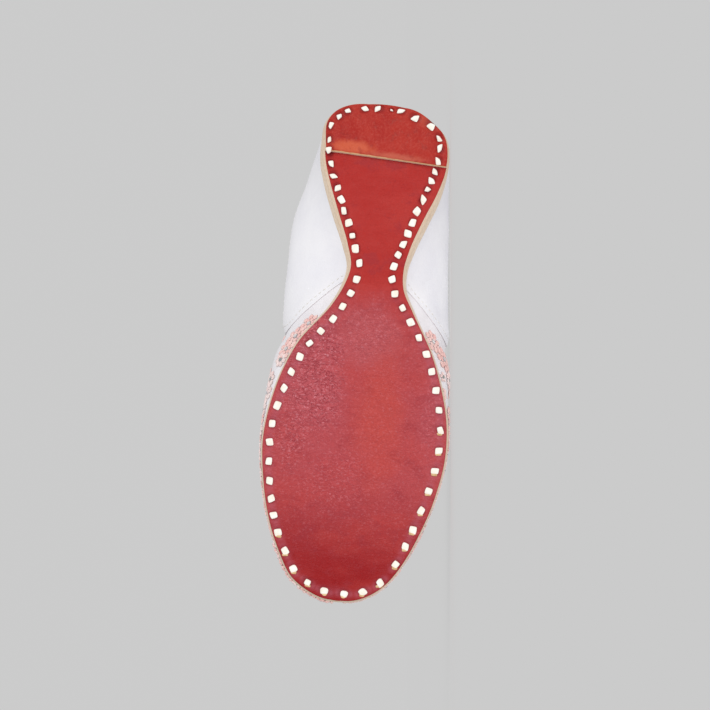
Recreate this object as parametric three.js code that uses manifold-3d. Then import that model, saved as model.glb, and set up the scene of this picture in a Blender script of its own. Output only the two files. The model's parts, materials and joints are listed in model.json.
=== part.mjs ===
// A flat mojari slip-on for the left foot, lying on its inner side.
// Every piece is modelled in the shoe's own frame: x from heel to toe, y towards the outer side, z up,
// with the tread on z = 0. The last lines lay the whole shoe on its inner side.
import * as THREE from 'three';
import { ConvexHull } from 'three/addons/math/ConvexHull.js';
import { mergeVertices } from 'three/addons/utils/BufferGeometryUtils.js';
import Module from 'manifold-3d';

const wasm = await Module();
wasm.setup();

// Driving dimensions, in millimetres
const SOLE_LENGTH = 246;
const HEEL_WIDTH = 61.5;
const WAIST_WIDTH = 26.2;
const BALL_WIDTH = 90.1;
const OUTSOLE_THICKNESS = 2.8;
const HEEL_LIFT_THICKNESS = 3.0;
const HEEL_LIFT_LENGTH = 26.5;
const HEEL_LIFT_SKEW = 2.2;
const MIDSOLE_THICKNESS = 2.0;
const MIDSOLE_HEEL_THICKNESS = 4.0;
const INSOLE_THICKNESS = 1.5;
const EDGE_FLARE = 3.2;
const TOE_SPRING = 4.0;
const COLLAR_HEIGHT = 52;
const COLLAR_WIDTH = 81;
const UPPER_WALL = 1.6;
const QUARTER_WALL = 1.2;
const RIM = 0.2;
const GAP = 0.3;

// Stations along each side of the shoe, and rows up its wall
const STATIONS_TO_THROAT = 24;
const STATIONS_TO_TOE = 15;
const WALL_ROWS = 11;
const SOLE_STATIONS = 60;
const LIFT_STATIONS = 14;

// The sole's red face: share of the length from the heel, and shares of the named width on each side
const OUTLINE = [
  { at: 0.000, of: HEEL_WIDTH, outer: 0.146, inner: -0.049 },
  { at: 0.004, of: HEEL_WIDTH, outer: 0.216, inner: 0.049 },
  { at: 0.024, of: HEEL_WIDTH, outer: 0.430, inner: 0.306 },
  { at: 0.045, of: HEEL_WIDTH, outer: 0.494, inner: 0.426 },
  { at: 0.085, of: HEEL_WIDTH, outer: 0.508, inner: 0.489 },
  { at: 0.126, of: HEEL_WIDTH, outer: 0.486, inner: 0.478 },
  { at: 0.167, of: HEEL_WIDTH, outer: 0.432, inner: 0.432 },
  { at: 0.228, of: HEEL_WIDTH, outer: 0.335, inner: 0.336 },
  { at: 0.289, of: WAIST_WIDTH, outer: 0.557, inner: 0.603 },
  { at: 0.329, of: WAIST_WIDTH, outer: 0.462, inner: 0.538 },
  { at: 0.370, of: WAIST_WIDTH, outer: 0.546, inner: 0.584 },
  { at: 0.411, of: BALL_WIDTH, outer: 0.213, inner: 0.230 },
  { at: 0.492, of: BALL_WIDTH, outer: 0.373, inner: 0.358 },
  { at: 0.553, of: BALL_WIDTH, outer: 0.444, inner: 0.424 },
  { at: 0.614, of: BALL_WIDTH, outer: 0.487, inner: 0.471 },
  { at: 0.687, of: BALL_WIDTH, outer: 0.511, inner: 0.490 },
  { at: 0.776, of: BALL_WIDTH, outer: 0.485, inner: 0.457 },
  { at: 0.858, of: BALL_WIDTH, outer: 0.427, inner: 0.388 },
  { at: 0.919, of: BALL_WIDTH, outer: 0.353, inner: 0.313 },
  { at: 0.959, of: BALL_WIDTH, outer: 0.286, inner: 0.239 },
  { at: 0.992, of: BALL_WIDTH, outer: 0.150, inner: 0.115 },
  { at: 1.000, of: BALL_WIDTH, outer: 0.050, inner: 0.015 },
];

// How far the cut edge of the sole stands out at its top on each side, as a share of EDGE_FLARE
const FLARE = [
  { at: 0.00, outer: 0.40, inner: 0.35 },
  { at: 0.06, outer: 0.45, inner: 0.32 },
  { at: 0.12, outer: 0.85, inner: 0.38 },
  { at: 0.20, outer: 1.00, inner: 0.95 },
  { at: 0.33, outer: 0.75, inner: 0.75 },
  { at: 0.45, outer: 0.60, inner: 0.55 },
  { at: 0.65, outer: 0.55, inner: 0.66 },
  { at: 0.76, outer: 0.45, inner: 0.40 },
  { at: 1.00, outer: 0.35, inner: 0.35 },
];

// Where the tread leaves the floor, as shares of the length
const RAMP = { from: 0.13, to: 0.50 };
const SPRING_FROM = 0.76;

// The upper's strips: each is a curve from the sole's edge at `at` to the collar or the ridge at `topAt`.
// Half widths, outer side and inner side, are shares of COLLAR_WIDTH. Swell and reach, the outward handles
// at its foot and its top, are shares of BALL_WIDTH. Height, rise and drop are shares of COLLAR_HEIGHT.
const STRIPS = [
  { at: 0.00, topAt: 0.018, half: [0.070, -0.010], height: 1.000, swell: [0.010, 0.010], rise: 0.25, reach: 0.018, drop: 0.26 },
  { at: 0.02, topAt: 0.036, half: [0.250, 0.190], height: 0.985, swell: [0.010, 0.008], rise: 0.25, reach: 0.018, drop: 0.26 },
  { at: 0.05, topAt: 0.058, half: [0.350, 0.305], height: 0.960, swell: [0.014, 0.006], rise: 0.24, reach: 0.016, drop: 0.26 },
  { at: 0.10, topAt: 0.102, half: [0.428, 0.368], height: 0.910, swell: [0.030, 0.004], rise: 0.22, reach: 0.010, drop: 0.26 },
  { at: 0.16, topAt: 0.160, half: [0.474, 0.391], height: 0.855, swell: [0.050, 0.020], rise: 0.20, reach: 0.006, drop: 0.26 },
  { at: 0.23, topAt: 0.230, half: [0.526, 0.416], height: 0.810, swell: [0.090, 0.075], rise: 0.19, reach: 0.004, drop: 0.25 },
  { at: 0.32, topAt: 0.320, half: [0.532, 0.439], height: 0.780, swell: [0.120, 0.105], rise: 0.20, reach: 0.006, drop: 0.24 },
  { at: 0.40, topAt: 0.398, half: [0.530, 0.464], height: 0.785, swell: [0.110, 0.100], rise: 0.20, reach: 0.008, drop: 0.22 },
  { at: 0.47, topAt: 0.465, half: [0.508, 0.477], height: 0.830, swell: [0.095, 0.085], rise: 0.20, reach: 0.030, drop: 0.22 },
  { at: 0.53, topAt: 0.522, half: [0.420, 0.385], height: 0.890, swell: [0.160, 0.128], rise: 0.24, reach: 0.110, drop: 0.16 },
  { at: 0.59, topAt: 0.566, half: [0.270, 0.250], height: 0.925, swell: [0.135, 0.078], rise: 0.28, reach: 0.200, drop: 0.07 },
  { at: 0.64, topAt: 0.590, half: [0.110, 0.105], height: 0.930, swell: [0.120, 0.066], rise: 0.29, reach: 0.260, drop: 0.02 },
  { at: 0.68, topAt: 0.598, half: [0.000, 0.000], height: 0.923, swell: [0.100, 0.068], rise: 0.28, reach: 0.280, drop: 0.00 },
  { at: 0.76, topAt: 0.655, half: [0.000, 0.000], height: 0.855, swell: [0.090, 0.072], rise: 0.26, reach: 0.280, drop: 0.00 },
  { at: 0.84, topAt: 0.735, half: [0.000, 0.000], height: 0.755, swell: [0.080, 0.080], rise: 0.22, reach: 0.260, drop: 0.00 },
  { at: 0.92, topAt: 0.820, half: [0.000, 0.000], height: 0.635, swell: [0.070, 0.070], rise: 0.18, reach: 0.210, drop: 0.00 },
  { at: 0.97, topAt: 0.880, half: [0.000, 0.000], height: 0.545, swell: [0.060, 0.060], rise: 0.15, reach: 0.160, drop: 0.00 },
  { at: 1.00, topAt: 0.920, half: [0.000, 0.000], height: 0.475, swell: [0.050, 0.050], rise: 0.13, reach: 0.120, drop: 0.00 },
];
const THROAT = 0.68;

// The quarter's front edge seen from beneath: share of the length, and of BALL_WIDTH from the middle
const QUARTER_FRONT = [
  { at: 0.345, half: 0.000 },
  { at: 0.362, half: 0.166 },
  { at: 0.402, half: 0.294 },
  { at: 0.437, half: 0.388 },
  { at: 0.476, half: 0.477 },
  { at: 0.500, half: 0.750 },
];

const OUTER = 1;
const INNER = -1;

// Stations are counted by angle, 0 at the heel and 1 at the toe, so that they crowd at the round ends
const stationOf = (at) => Math.acos(1 - 2 * at) / Math.PI;
const shareOf = (station) => (1 - Math.cos(Math.PI * station)) / 2;

// A smooth curve through one column of a table, as a function of the station
function column(rows, value) {
  const knots = rows.map((row) => stationOf(row.at));
  const values = rows.map(value);
  const last = rows.length - 1;
  const spans = knots.slice(1).map((knot, i) => knot - knots[i]);
  const climbs = spans.map((span, i) => (values[i + 1] - values[i]) / span);
  const slopes = knots.map((_, i) => {
    if (i === 0) return climbs[0];
    if (i === last) return climbs[last - 1];
    return (spans[i] * climbs[i - 1] + spans[i - 1] * climbs[i]) / (spans[i - 1] + spans[i]);
  });
  return (station) => {
    const next = knots.findIndex((knot) => knot > station);
    const i = next < 0 ? last - 1 : Math.max(next - 1, 0);
    const t = (station - knots[i]) / spans[i];
    const near = (1 + 2 * t) * (1 - t) ** 2;
    const leaving = t * (1 - t) ** 2;
    const arriving = t ** 2 * (t - 1);
    return near * values[i] + (1 - near) * values[i + 1] + spans[i] * (leaving * slopes[i] + arriving * slopes[i + 1]);
  };
}

const halfWidth = {
  [OUTER]: column(OUTLINE, (row) => row.outer * row.of),
  [INNER]: column(OUTLINE, (row) => row.inner * row.of),
};
const flare = {
  [OUTER]: column(FLARE, (row) => row.outer * EDGE_FLARE),
  [INNER]: column(FLARE, (row) => row.inner * EDGE_FLARE),
};

// Heights above the floor, by distance from the heel
function treadHeight(x) {
  const share = x / SOLE_LENGTH;
  const lift = (HEEL_LIFT_THICKNESS + GAP) * (1 - THREE.MathUtils.smoothstep(share, RAMP.from, RAMP.to));
  const spring = Math.max(share - SPRING_FROM, 0) / (1 - SPRING_FROM);
  return lift + TOE_SPRING * spring ** 2;
}
const outsoleTop = (x) => treadHeight(x) + OUTSOLE_THICKNESS;
const midsoleBottom = (x) => outsoleTop(x) + GAP;
function midsoleTop(x) {
  const forward = THREE.MathUtils.smoothstep(x / SOLE_LENGTH, RAMP.from, RAMP.to);
  return midsoleBottom(x) + THREE.MathUtils.lerp(MIDSOLE_HEEL_THICKNESS, MIDSOLE_THICKNESS, forward);
}
const seatHeight = (x) => midsoleTop(x) + GAP;

// A place on the sole's outline, moved out from the red face, with its outward direction
function edge(side, station, out) {
  const step = 1e-4;
  const from = Math.max(station - step, 0);
  const to = Math.min(station + step, 1);
  const along = SOLE_LENGTH * (shareOf(to) - shareOf(from));
  const across = halfWidth[side](to) - halfWidth[side](from);
  const length = Math.hypot(along, across);
  const outward = new THREE.Vector3(-across / length, (side * along) / length, 0);
  const place = new THREE.Vector3(SOLE_LENGTH * shareOf(station), side * halfWidth[side](station), 0);
  return { place: place.addScaledVector(outward, out), outward };
}

// A solid from points and triangles: equal points become one, and the faces are turned outwards
function solid(points, triangles) {
  const loose = new THREE.BufferGeometry();
  loose.setAttribute('position', new THREE.Float32BufferAttribute(points.flatMap((point) => point.toArray()), 3));
  loose.setIndex(triangles.flat());
  const geometry = mergeVertices(loose, 1e-4);
  const corners = geometry.index.array;
  const kept = [];
  for (let i = 0; i < corners.length; i += 3) {
    const [a, b, c] = corners.slice(i, i + 3);
    if (a !== b && b !== c && c !== a) kept.push([a, b, c]);
  }
  geometry.setIndex(kept.flat());
  if (weigh(geometry).volume < 0) geometry.setIndex(kept.map((corner) => corner.reverse()).flat());
  return geometry;
}

// The volume of a closed geometry, and its volume times the place of its centre
function weigh(geometry) {
  const position = geometry.attributes.position;
  const [a, b, c] = [new THREE.Vector3(), new THREE.Vector3(), new THREE.Vector3()];
  const moment = new THREE.Vector3();
  let volume = 0;
  for (let i = 0; i < geometry.index.count; i += 3) {
    a.fromBufferAttribute(position, geometry.index.getX(i));
    b.fromBufferAttribute(position, geometry.index.getX(i + 1));
    c.fromBufferAttribute(position, geometry.index.getX(i + 2));
    const wedge = a.dot(new THREE.Vector3().crossVectors(b, c)) / 6;
    volume += wedge;
    moment.addScaledVector(a.clone().add(b).add(c), wedge / 4);
  }
  return { volume, moment };
}

const quad = (a, b, c, d) => [[a, b, c], [a, c, d]];

// A flat piece of the sole between two heights, whose edge leans from `low` to `high` shares of the flare,
// less an inset. `ends` gives the last station on each side.
function plate({ bottom, top, low, high, inset = 0, ends = { [OUTER]: 1, [INNER]: 1 }, stations }) {
  const points = [];
  const triangles = [];
  for (let k = 0; k <= stations; k += 1) {
    for (const [side, height, lean] of [[OUTER, bottom, low], [OUTER, top, high], [INNER, top, high], [INNER, bottom, low]]) {
      const station = (ends[side] * k) / stations;
      const { place } = edge(side, station, lean * flare[side](station) - inset);
      points.push(place.setZ(height(place.x)));
    }
  }
  for (let k = 0; k < stations; k += 1) {
    for (let corner = 0; corner < 4; corner += 1) {
      const here = 4 * k + corner;
      const beside = 4 * k + ((corner + 1) % 4);
      triangles.push(...quad(here, beside, beside + 4, here + 4));
    }
  }
  const last = 4 * stations;
  triangles.push(...quad(0, 3, 2, 1), ...quad(last, last + 1, last + 2, last + 3));
  return solid(points, triangles);
}

const strips = {
  at: column(STRIPS, (row) => row.topAt * SOLE_LENGTH),
  half: {
    [OUTER]: column(STRIPS, (row) => row.half[0] * COLLAR_WIDTH),
    [INNER]: column(STRIPS, (row) => row.half[1] * COLLAR_WIDTH),
  },
  height: column(STRIPS, (row) => row.height * COLLAR_HEIGHT),
  swell: {
    [OUTER]: column(STRIPS, (row) => row.swell[0] * BALL_WIDTH),
    [INNER]: column(STRIPS, (row) => row.swell[1] * BALL_WIDTH),
  },
  rise: column(STRIPS, (row) => row.rise * COLLAR_HEIGHT),
  reach: column(STRIPS, (row) => row.reach * BALL_WIDTH),
  drop: column(STRIPS, (row) => row.drop * COLLAR_HEIGHT),
};
const throatStation = stationOf(THROAT);
const upperInset = RIM + QUARTER_WALL + GAP;

// The fall of the vamp's ridge at a station, in millimetres a millimetre
function ridgeSlope(station) {
  if (station < throatStation) return 0;
  const step = 1e-3;
  const from = Math.max(station - step, throatStation);
  const to = Math.min(station + step, 1);
  const climb = strips.height(to) - strips.height(from);
  return climb / (strips.at(to) - strips.at(from));
}

// One strip of the upper's outer surface, from the sole's edge to the collar or the ridge
function strip(side, station) {
  const { place, outward } = edge(side, station, flare[side](station) - upperInset);
  const foot = place.setZ(seatHeight(place.x));
  const half = station < throatStation ? strips.half[side](station) : 0;
  const top = new THREE.Vector3(strips.at(station), side * half, strips.height(station));
  const footHandle = foot.clone().addScaledVector(outward, strips.swell[side](station));
  footHandle.z += strips.rise(station);
  const topHandle = top.clone().addScaledVector(outward, strips.reach(station));
  topHandle.z += ridgeSlope(station) * (topHandle.x - top.x) - strips.drop(station);
  return new THREE.CubicBezierCurve3(foot, footHandle, topHandle, top);
}

// The upper's outward direction: level at its foot, in the middle plane on the ridge
const FOOT_BLEND = 0.12;
function outwardAt(side, station, up) {
  if (up === 1 && station >= throatStation) {
    return new THREE.Vector3(-ridgeSlope(station), 0, 1).normalize();
  }
  const step = 1e-3;
  const limit = station < throatStation ? throatStation - 1e-6 : 1;
  const start = station < throatStation ? 0 : throatStation;
  const ahead = strip(side, Math.min(station + step, limit)).getPoint(up);
  const behind = strip(side, Math.max(station - step, start)).getPoint(up);
  const rising = strip(side, station).getTangent(up);
  const across = new THREE.Vector3().crossVectors(rising, ahead.sub(behind)).multiplyScalar(side).normalize();
  const level = edge(side, station, 0).outward;
  return level.lerp(across, THREE.MathUtils.smoothstep(up, 0, FOOT_BLEND)).normalize();
}

// A point of the upper at a share of the way up, and at a depth inside its outer surface
function upperPoint(side, station, up, depth) {
  const point = strip(side, station).getPoint(up);
  point.addScaledVector(outwardAt(side, station, up), -depth);
  point.z = Math.max(point.z, seatHeight(point.x));
  return point;
}

const stationsToThroat = Array.from({ length: STATIONS_TO_THROAT }, (_, k) => (throatStation * k) / STATIONS_TO_THROAT);
const stationsToToe = Array.from(
  { length: STATIONS_TO_TOE + 1 },
  (_, k) => throatStation + ((1 - throatStation) * k) / STATIONS_TO_TOE,
);
const allStations = [...stationsToThroat, ...stationsToToe];

// A sheet of the upper's surface at one depth, a row of points for each place on the way round
function sheet(places, depth) {
  return places.map(({ side, station }) => (
    Array.from({ length: WALL_ROWS + 1 }, (_, row) => upperPoint(side, station, row / WALL_ROWS, depth))
  ));
}

// A wall between two depths. A closed ring runs back to its first place; `open` says whether the top edge
// between a place and the next is free.
function wall({ places, outerDepth, innerDepth, closed, open }) {
  const rows = WALL_ROWS + 1;
  const points = [...sheet(places, outerDepth), ...sheet(places, innerDepth)].flat();
  const inside = places.length * rows;
  const triangles = [];
  const spans = closed ? places.length : places.length - 1;
  for (let i = 0; i < spans; i += 1) {
    const here = i * rows;
    const next = ((i + 1) % places.length) * rows;
    for (let row = 0; row < WALL_ROWS; row += 1) {
      triangles.push(...quad(here + row, next + row, next + row + 1, here + row + 1));
      triangles.push(...quad(inside + here + row, inside + here + row + 1, inside + next + row + 1, inside + next + row));
    }
    triangles.push(...quad(here, inside + here, inside + next, next));
    if (open(i)) {
      const top = WALL_ROWS;
      triangles.push(...quad(here + top, next + top, inside + next + top, inside + here + top));
    }
  }
  if (!closed) {
    const end = (places.length - 1) * rows;
    for (let row = 0; row < WALL_ROWS; row += 1) {
      triangles.push(...quad(row, row + 1, inside + row + 1, inside + row));
      triangles.push(...quad(end + row, inside + end + row, inside + end + row + 1, end + row + 1));
    }
  }
  return solid(points, triangles);
}

function makeUpper() {
  const outerSide = allStations.map((station) => ({ side: OUTER, station }));
  const innerSide = allStations.map((station) => ({ side: INNER, station })).reverse();
  const places = [...outerSide, ...innerSide];
  const throatSpan = STATIONS_TO_THROAT;
  const open = (i) => i < throatSpan || i >= places.length - 1 - throatSpan;
  return wall({ places, outerDepth: 0, innerDepth: UPPER_WALL, closed: true, open });
}

function toManifold(geometry) {
  const plain = new THREE.BufferGeometry();
  plain.setAttribute('position', geometry.attributes.position);
  plain.setIndex(geometry.index);
  const merged = mergeVertices(plain, 1e-4);
  return new wasm.Manifold(new wasm.Mesh({
    numProp: 3,
    vertProperties: new Float32Array(merged.attributes.position.array),
    triVerts: new Uint32Array(merged.index.array),
  }));
}

function fromManifold(body) {
  const mesh = body.getMesh();
  const geometry = new THREE.BufferGeometry();
  geometry.setAttribute('position', new THREE.Float32BufferAttribute(mesh.vertProperties, 3));
  geometry.setIndex(new THREE.BufferAttribute(mesh.triVerts, 1));
  return geometry;
}

// The quarter is a second wall over the upper's surface, cut along its front edge by an upright prism
function makeQuarter() {
  const reach = stationOf(QUARTER_FRONT.at(-1).at);
  const covered = stationsToThroat.filter((station) => station < reach + throatStation / STATIONS_TO_THROAT);
  const innerSide = covered.map((station) => ({ side: INNER, station })).reverse();
  const outerSide = covered.map((station) => ({ side: OUTER, station }));
  const whole = wall({
    places: [...innerSide, ...outerSide],
    outerDepth: -GAP - QUARTER_WALL,
    innerDepth: -GAP,
    closed: false,
    open: () => true,
  });
  const front = QUARTER_FRONT.map((row) => new THREE.Vector2(row.at * SOLE_LENGTH, row.half * BALL_WIDTH));
  const curve = new THREE.SplineCurve(front).getPoints(3 * front.length);
  const mirrored = curve.slice(1).map((point) => new THREE.Vector2(point.x, -point.y)).reverse();
  const behind = new THREE.Vector2(-SOLE_LENGTH / 4, front.at(-1).y);
  const outline = new THREE.Shape([...mirrored, ...curve, behind, new THREE.Vector2(behind.x, -behind.y)]);
  const prism = new THREE.ExtrudeGeometry(outline, { depth: 4 * COLLAR_HEIGHT, bevelEnabled: false });
  prism.translate(0, 0, -COLLAR_HEIGHT);
  prism.deleteAttribute('normal');
  prism.deleteAttribute('uv');
  return fromManifold(toManifold(whole).intersect(toManifold(mergeVertices(prism, 1e-4))));
}

function makeOutsole() {
  return plate({ bottom: treadHeight, top: outsoleTop, low: 0, high: 0.5, stations: SOLE_STATIONS });
}

function makeHeelLift() {
  const ends = {
    [OUTER]: stationOf((HEEL_LIFT_LENGTH - HEEL_LIFT_SKEW / 2) / SOLE_LENGTH),
    [INNER]: stationOf((HEEL_LIFT_LENGTH + HEEL_LIFT_SKEW / 2) / SOLE_LENGTH),
  };
  const bottom = () => 0;
  const top = () => HEEL_LIFT_THICKNESS;
  return plate({ bottom, top, low: 0, high: 0, ends, stations: LIFT_STATIONS });
}

function makeMidsole() {
  return plate({ bottom: midsoleBottom, top: midsoleTop, low: 0.5, high: 1, stations: SOLE_STATIONS });
}

function makeInsole() {
  const inset = upperInset + UPPER_WALL + GAP;
  const top = (x) => seatHeight(x) + INSOLE_THICKNESS;
  return plate({ bottom: seatHeight, top, low: 1, high: 1, inset, stations: SOLE_STATIONS });
}

const PIECES = [
  { name: 'outsole', make: makeOutsole, color: 0xb03a40, roughness: 0.55 },
  { name: 'heel_lift', make: makeHeelLift, color: 0xa8382f, roughness: 0.55 },
  { name: 'midsole', make: makeMidsole, color: 0xcfae88, roughness: 0.8 },
  { name: 'insole', make: makeInsole, color: 0xe4d6c2, roughness: 0.8 },
  { name: 'upper', make: makeUpper, color: 0xe6e4e0, roughness: 0.7 },
  { name: 'quarter', make: makeQuarter, color: 0xf0f0f4, roughness: 0.6 },
];

// The face of the hull under the shoe's weight, found by dropping it from one face to the next
function restingFace(hull, centre, towards) {
  const fall = (face, down) => (face.constant - face.normal.dot(centre)) / face.normal.dot(down);
  const below = (down) => hull.faces
    .filter((face) => face.normal.dot(down) > 0)
    .reduce((best, face) => (fall(face, down) < fall(best, down) ? face : best));
  let face = below(towards);
  for (let next = below(face.normal); next !== face; next = below(face.normal)) face = next;
  return face;
}

const shoe = new THREE.Group();
for (const { name, make, color, roughness } of PIECES) {
  const mesh = new THREE.Mesh(make(), new THREE.MeshStandardMaterial({ color, roughness, metalness: 0 }));
  mesh.name = name;
  shoe.add(mesh);
}

// Lying on its inner side: the floor is the hull's face there, and the tread is turned towards -Y
const weights = shoe.children.map((mesh) => weigh(mesh.geometry));
const volume = weights.reduce((sum, weight) => sum + weight.volume, 0);
const centre = weights.reduce((sum, weight) => sum.add(weight.moment), new THREE.Vector3()).divideScalar(volume);
const hull = new ConvexHull().setFromObject(shoe);
const up = restingFace(hull, centre, new THREE.Vector3(0, INNER, 0)).normal.clone().negate();
const shoeUp = new THREE.Vector3(0, 0, 1);
const back = shoeUp.addScaledVector(up, -shoeUp.dot(up)).normalize();
const turned = new THREE.Matrix4().makeBasis(new THREE.Vector3().crossVectors(back, up), back, up).transpose();
shoe.quaternion.setFromRotationMatrix(turned);
const box = new THREE.Box3().setFromObject(shoe, true);
const middle = box.getCenter(new THREE.Vector3());
shoe.position.set(-middle.x, -middle.y, -box.min.z);

export default shoe;
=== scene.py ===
import json
import math
import random

import bpy
import numpy as np
from mathutils import Matrix, Vector
from mathutils.bvhtree import BVHTree


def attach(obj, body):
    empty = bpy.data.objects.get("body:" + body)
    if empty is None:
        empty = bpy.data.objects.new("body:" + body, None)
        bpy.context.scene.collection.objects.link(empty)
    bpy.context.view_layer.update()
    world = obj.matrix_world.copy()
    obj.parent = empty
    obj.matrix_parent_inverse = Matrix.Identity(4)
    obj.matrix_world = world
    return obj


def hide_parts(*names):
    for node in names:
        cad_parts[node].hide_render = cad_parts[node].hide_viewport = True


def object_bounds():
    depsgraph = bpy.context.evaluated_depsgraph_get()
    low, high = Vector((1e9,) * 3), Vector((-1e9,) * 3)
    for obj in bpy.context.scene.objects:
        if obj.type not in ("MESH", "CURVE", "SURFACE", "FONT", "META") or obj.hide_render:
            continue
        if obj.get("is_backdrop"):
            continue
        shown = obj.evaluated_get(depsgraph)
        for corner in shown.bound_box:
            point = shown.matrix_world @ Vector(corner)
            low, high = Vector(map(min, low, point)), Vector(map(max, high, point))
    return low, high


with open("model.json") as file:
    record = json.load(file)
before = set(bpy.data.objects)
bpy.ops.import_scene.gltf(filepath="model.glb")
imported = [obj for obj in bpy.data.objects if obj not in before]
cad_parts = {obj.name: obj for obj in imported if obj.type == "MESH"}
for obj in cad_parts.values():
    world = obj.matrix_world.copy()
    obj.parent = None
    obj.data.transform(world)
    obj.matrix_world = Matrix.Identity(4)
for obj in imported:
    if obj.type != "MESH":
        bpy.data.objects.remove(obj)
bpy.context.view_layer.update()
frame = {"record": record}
bpy.ops.object.select_all(action="DESELECT")

# Sizes of the shoe in millimetres, standing on its sole: x heel to toe, y to the outer side, z up
SOLE_LENGTH = 246.0
HEEL_WIDTH = 61.5
WAIST_WIDTH = 26.2
BALL_WIDTH = 90.1
OUTSOLE_THICKNESS = 2.8
HEEL_LIFT_THICKNESS = 3.0
HEEL_LIFT_LENGTH = 26.5
HEEL_LIFT_SKEW = 2.2
MIDSOLE_THICKNESS = 2.0
MIDSOLE_HEEL_THICKNESS = 4.0
INSOLE_THICKNESS = 1.5
EDGE_FLARE = 3.2
TOE_SPRING = 4.0
COLLAR_HEIGHT = 52.0
COLLAR_WIDTH = 81.0
UPPER_WALL = 1.6
QUARTER_WALL = 1.2
RIM = 0.2
GAP = 0.3
RAMP_FROM = 0.13
RAMP_TO = 0.50
SPRING_FROM = 0.76
THROAT = 0.68
UPPER_INSET = RIM + QUARTER_WALL + GAP

OUTER = 1
INNER = -1
WORDS = {OUTER: "outer", INNER: "inner"}
BACK_SEAM_AT = 1.5

# The red face's outline: share of the length, outer and inner shares of the width
OUTLINE_SHARES = {
    HEEL_WIDTH: [
        (0.000, 0.190, 0.100),
        (0.004, 0.318, 0.196),
        (0.024, 0.462, 0.336),
        (0.045, 0.512, 0.432),
        (0.085, 0.510, 0.486),
        (0.126, 0.486, 0.478),
        (0.167, 0.432, 0.432),
        (0.228, 0.335, 0.336),
    ],
    WAIST_WIDTH: [
        (0.289, 0.557, 0.603),
        (0.329, 0.462, 0.538),
        (0.370, 0.546, 0.584),
    ],
    BALL_WIDTH: [
        (0.411, 0.213, 0.230),
        (0.492, 0.373, 0.358),
        (0.553, 0.444, 0.424),
        (0.614, 0.487, 0.471),
        (0.687, 0.511, 0.490),
        (0.776, 0.485, 0.457),
        (0.858, 0.427, 0.388),
        (0.919, 0.353, 0.313),
        (0.959, 0.286, 0.239),
        (0.992, 0.150, 0.115),
        (1.000, 0.050, 0.015),
    ],
}
OUTLINE = [(at, width * outer, width * inner)
           for width, rows in OUTLINE_SHARES.items() for at, outer, inner in rows]

# How far the cut edge stands out at its top: share of the length, outer and inner shares of the flare
FLARE = [
    (0.00, 0.40, 0.35),
    (0.06, 0.45, 0.32),
    (0.12, 0.85, 0.38),
    (0.20, 1.00, 0.95),
    (0.33, 0.75, 0.75),
    (0.45, 0.52, 0.48),
    (0.65, 0.42, 0.46),
    (0.76, 0.36, 0.34),
    (1.00, 0.34, 0.32),
]

# The upper's strips: at, top at, half outer, half inner, height, swell outer, swell inner, rise, reach, drop
STRIPS = [
    (0.00, 0.018, 0.070, -0.010, 1.000, 0.010, 0.010, 0.25, 0.018, 0.26),
    (0.02, 0.036, 0.250, 0.190, 0.985, 0.010, 0.008, 0.25, 0.018, 0.26),
    (0.05, 0.058, 0.350, 0.305, 0.960, 0.014, 0.006, 0.24, 0.016, 0.26),
    (0.10, 0.102, 0.428, 0.368, 0.910, 0.030, 0.004, 0.22, 0.010, 0.26),
    (0.16, 0.160, 0.474, 0.391, 0.855, 0.050, 0.020, 0.20, 0.006, 0.26),
    (0.23, 0.230, 0.526, 0.416, 0.810, 0.090, 0.075, 0.19, 0.004, 0.25),
    (0.32, 0.320, 0.532, 0.439, 0.780, 0.120, 0.105, 0.20, 0.006, 0.24),
    (0.40, 0.398, 0.530, 0.464, 0.785, 0.110, 0.100, 0.20, 0.008, 0.22),
    (0.47, 0.465, 0.508, 0.477, 0.830, 0.095, 0.085, 0.20, 0.030, 0.22),
    (0.53, 0.522, 0.420, 0.385, 0.890, 0.160, 0.128, 0.24, 0.110, 0.16),
    (0.59, 0.566, 0.270, 0.250, 0.925, 0.135, 0.078, 0.28, 0.200, 0.07),
    (0.64, 0.590, 0.110, 0.105, 0.930, 0.120, 0.066, 0.29, 0.260, 0.02),
    (0.68, 0.598, 0.000, 0.000, 0.923, 0.100, 0.068, 0.28, 0.280, 0.00),
    (0.76, 0.655, 0.000, 0.000, 0.855, 0.090, 0.072, 0.26, 0.280, 0.00),
    (0.84, 0.735, 0.000, 0.000, 0.755, 0.080, 0.080, 0.22, 0.260, 0.00),
    (0.92, 0.820, 0.000, 0.000, 0.635, 0.070, 0.070, 0.18, 0.210, 0.00),
    (0.97, 0.880, 0.000, 0.000, 0.545, 0.060, 0.060, 0.15, 0.160, 0.00),
    (1.00, 0.920, 0.000, 0.000, 0.475, 0.050, 0.050, 0.13, 0.120, 0.00),
]

# The quarter's front edge seen from beneath: share of the length, and of the ball's width from the middle
QUARTER_FRONT = [
    (0.345, 0.000),
    (0.362, 0.166),
    (0.402, 0.294),
    (0.437, 0.388),
    (0.476, 0.477),
    (0.500, 0.750),
]

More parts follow.
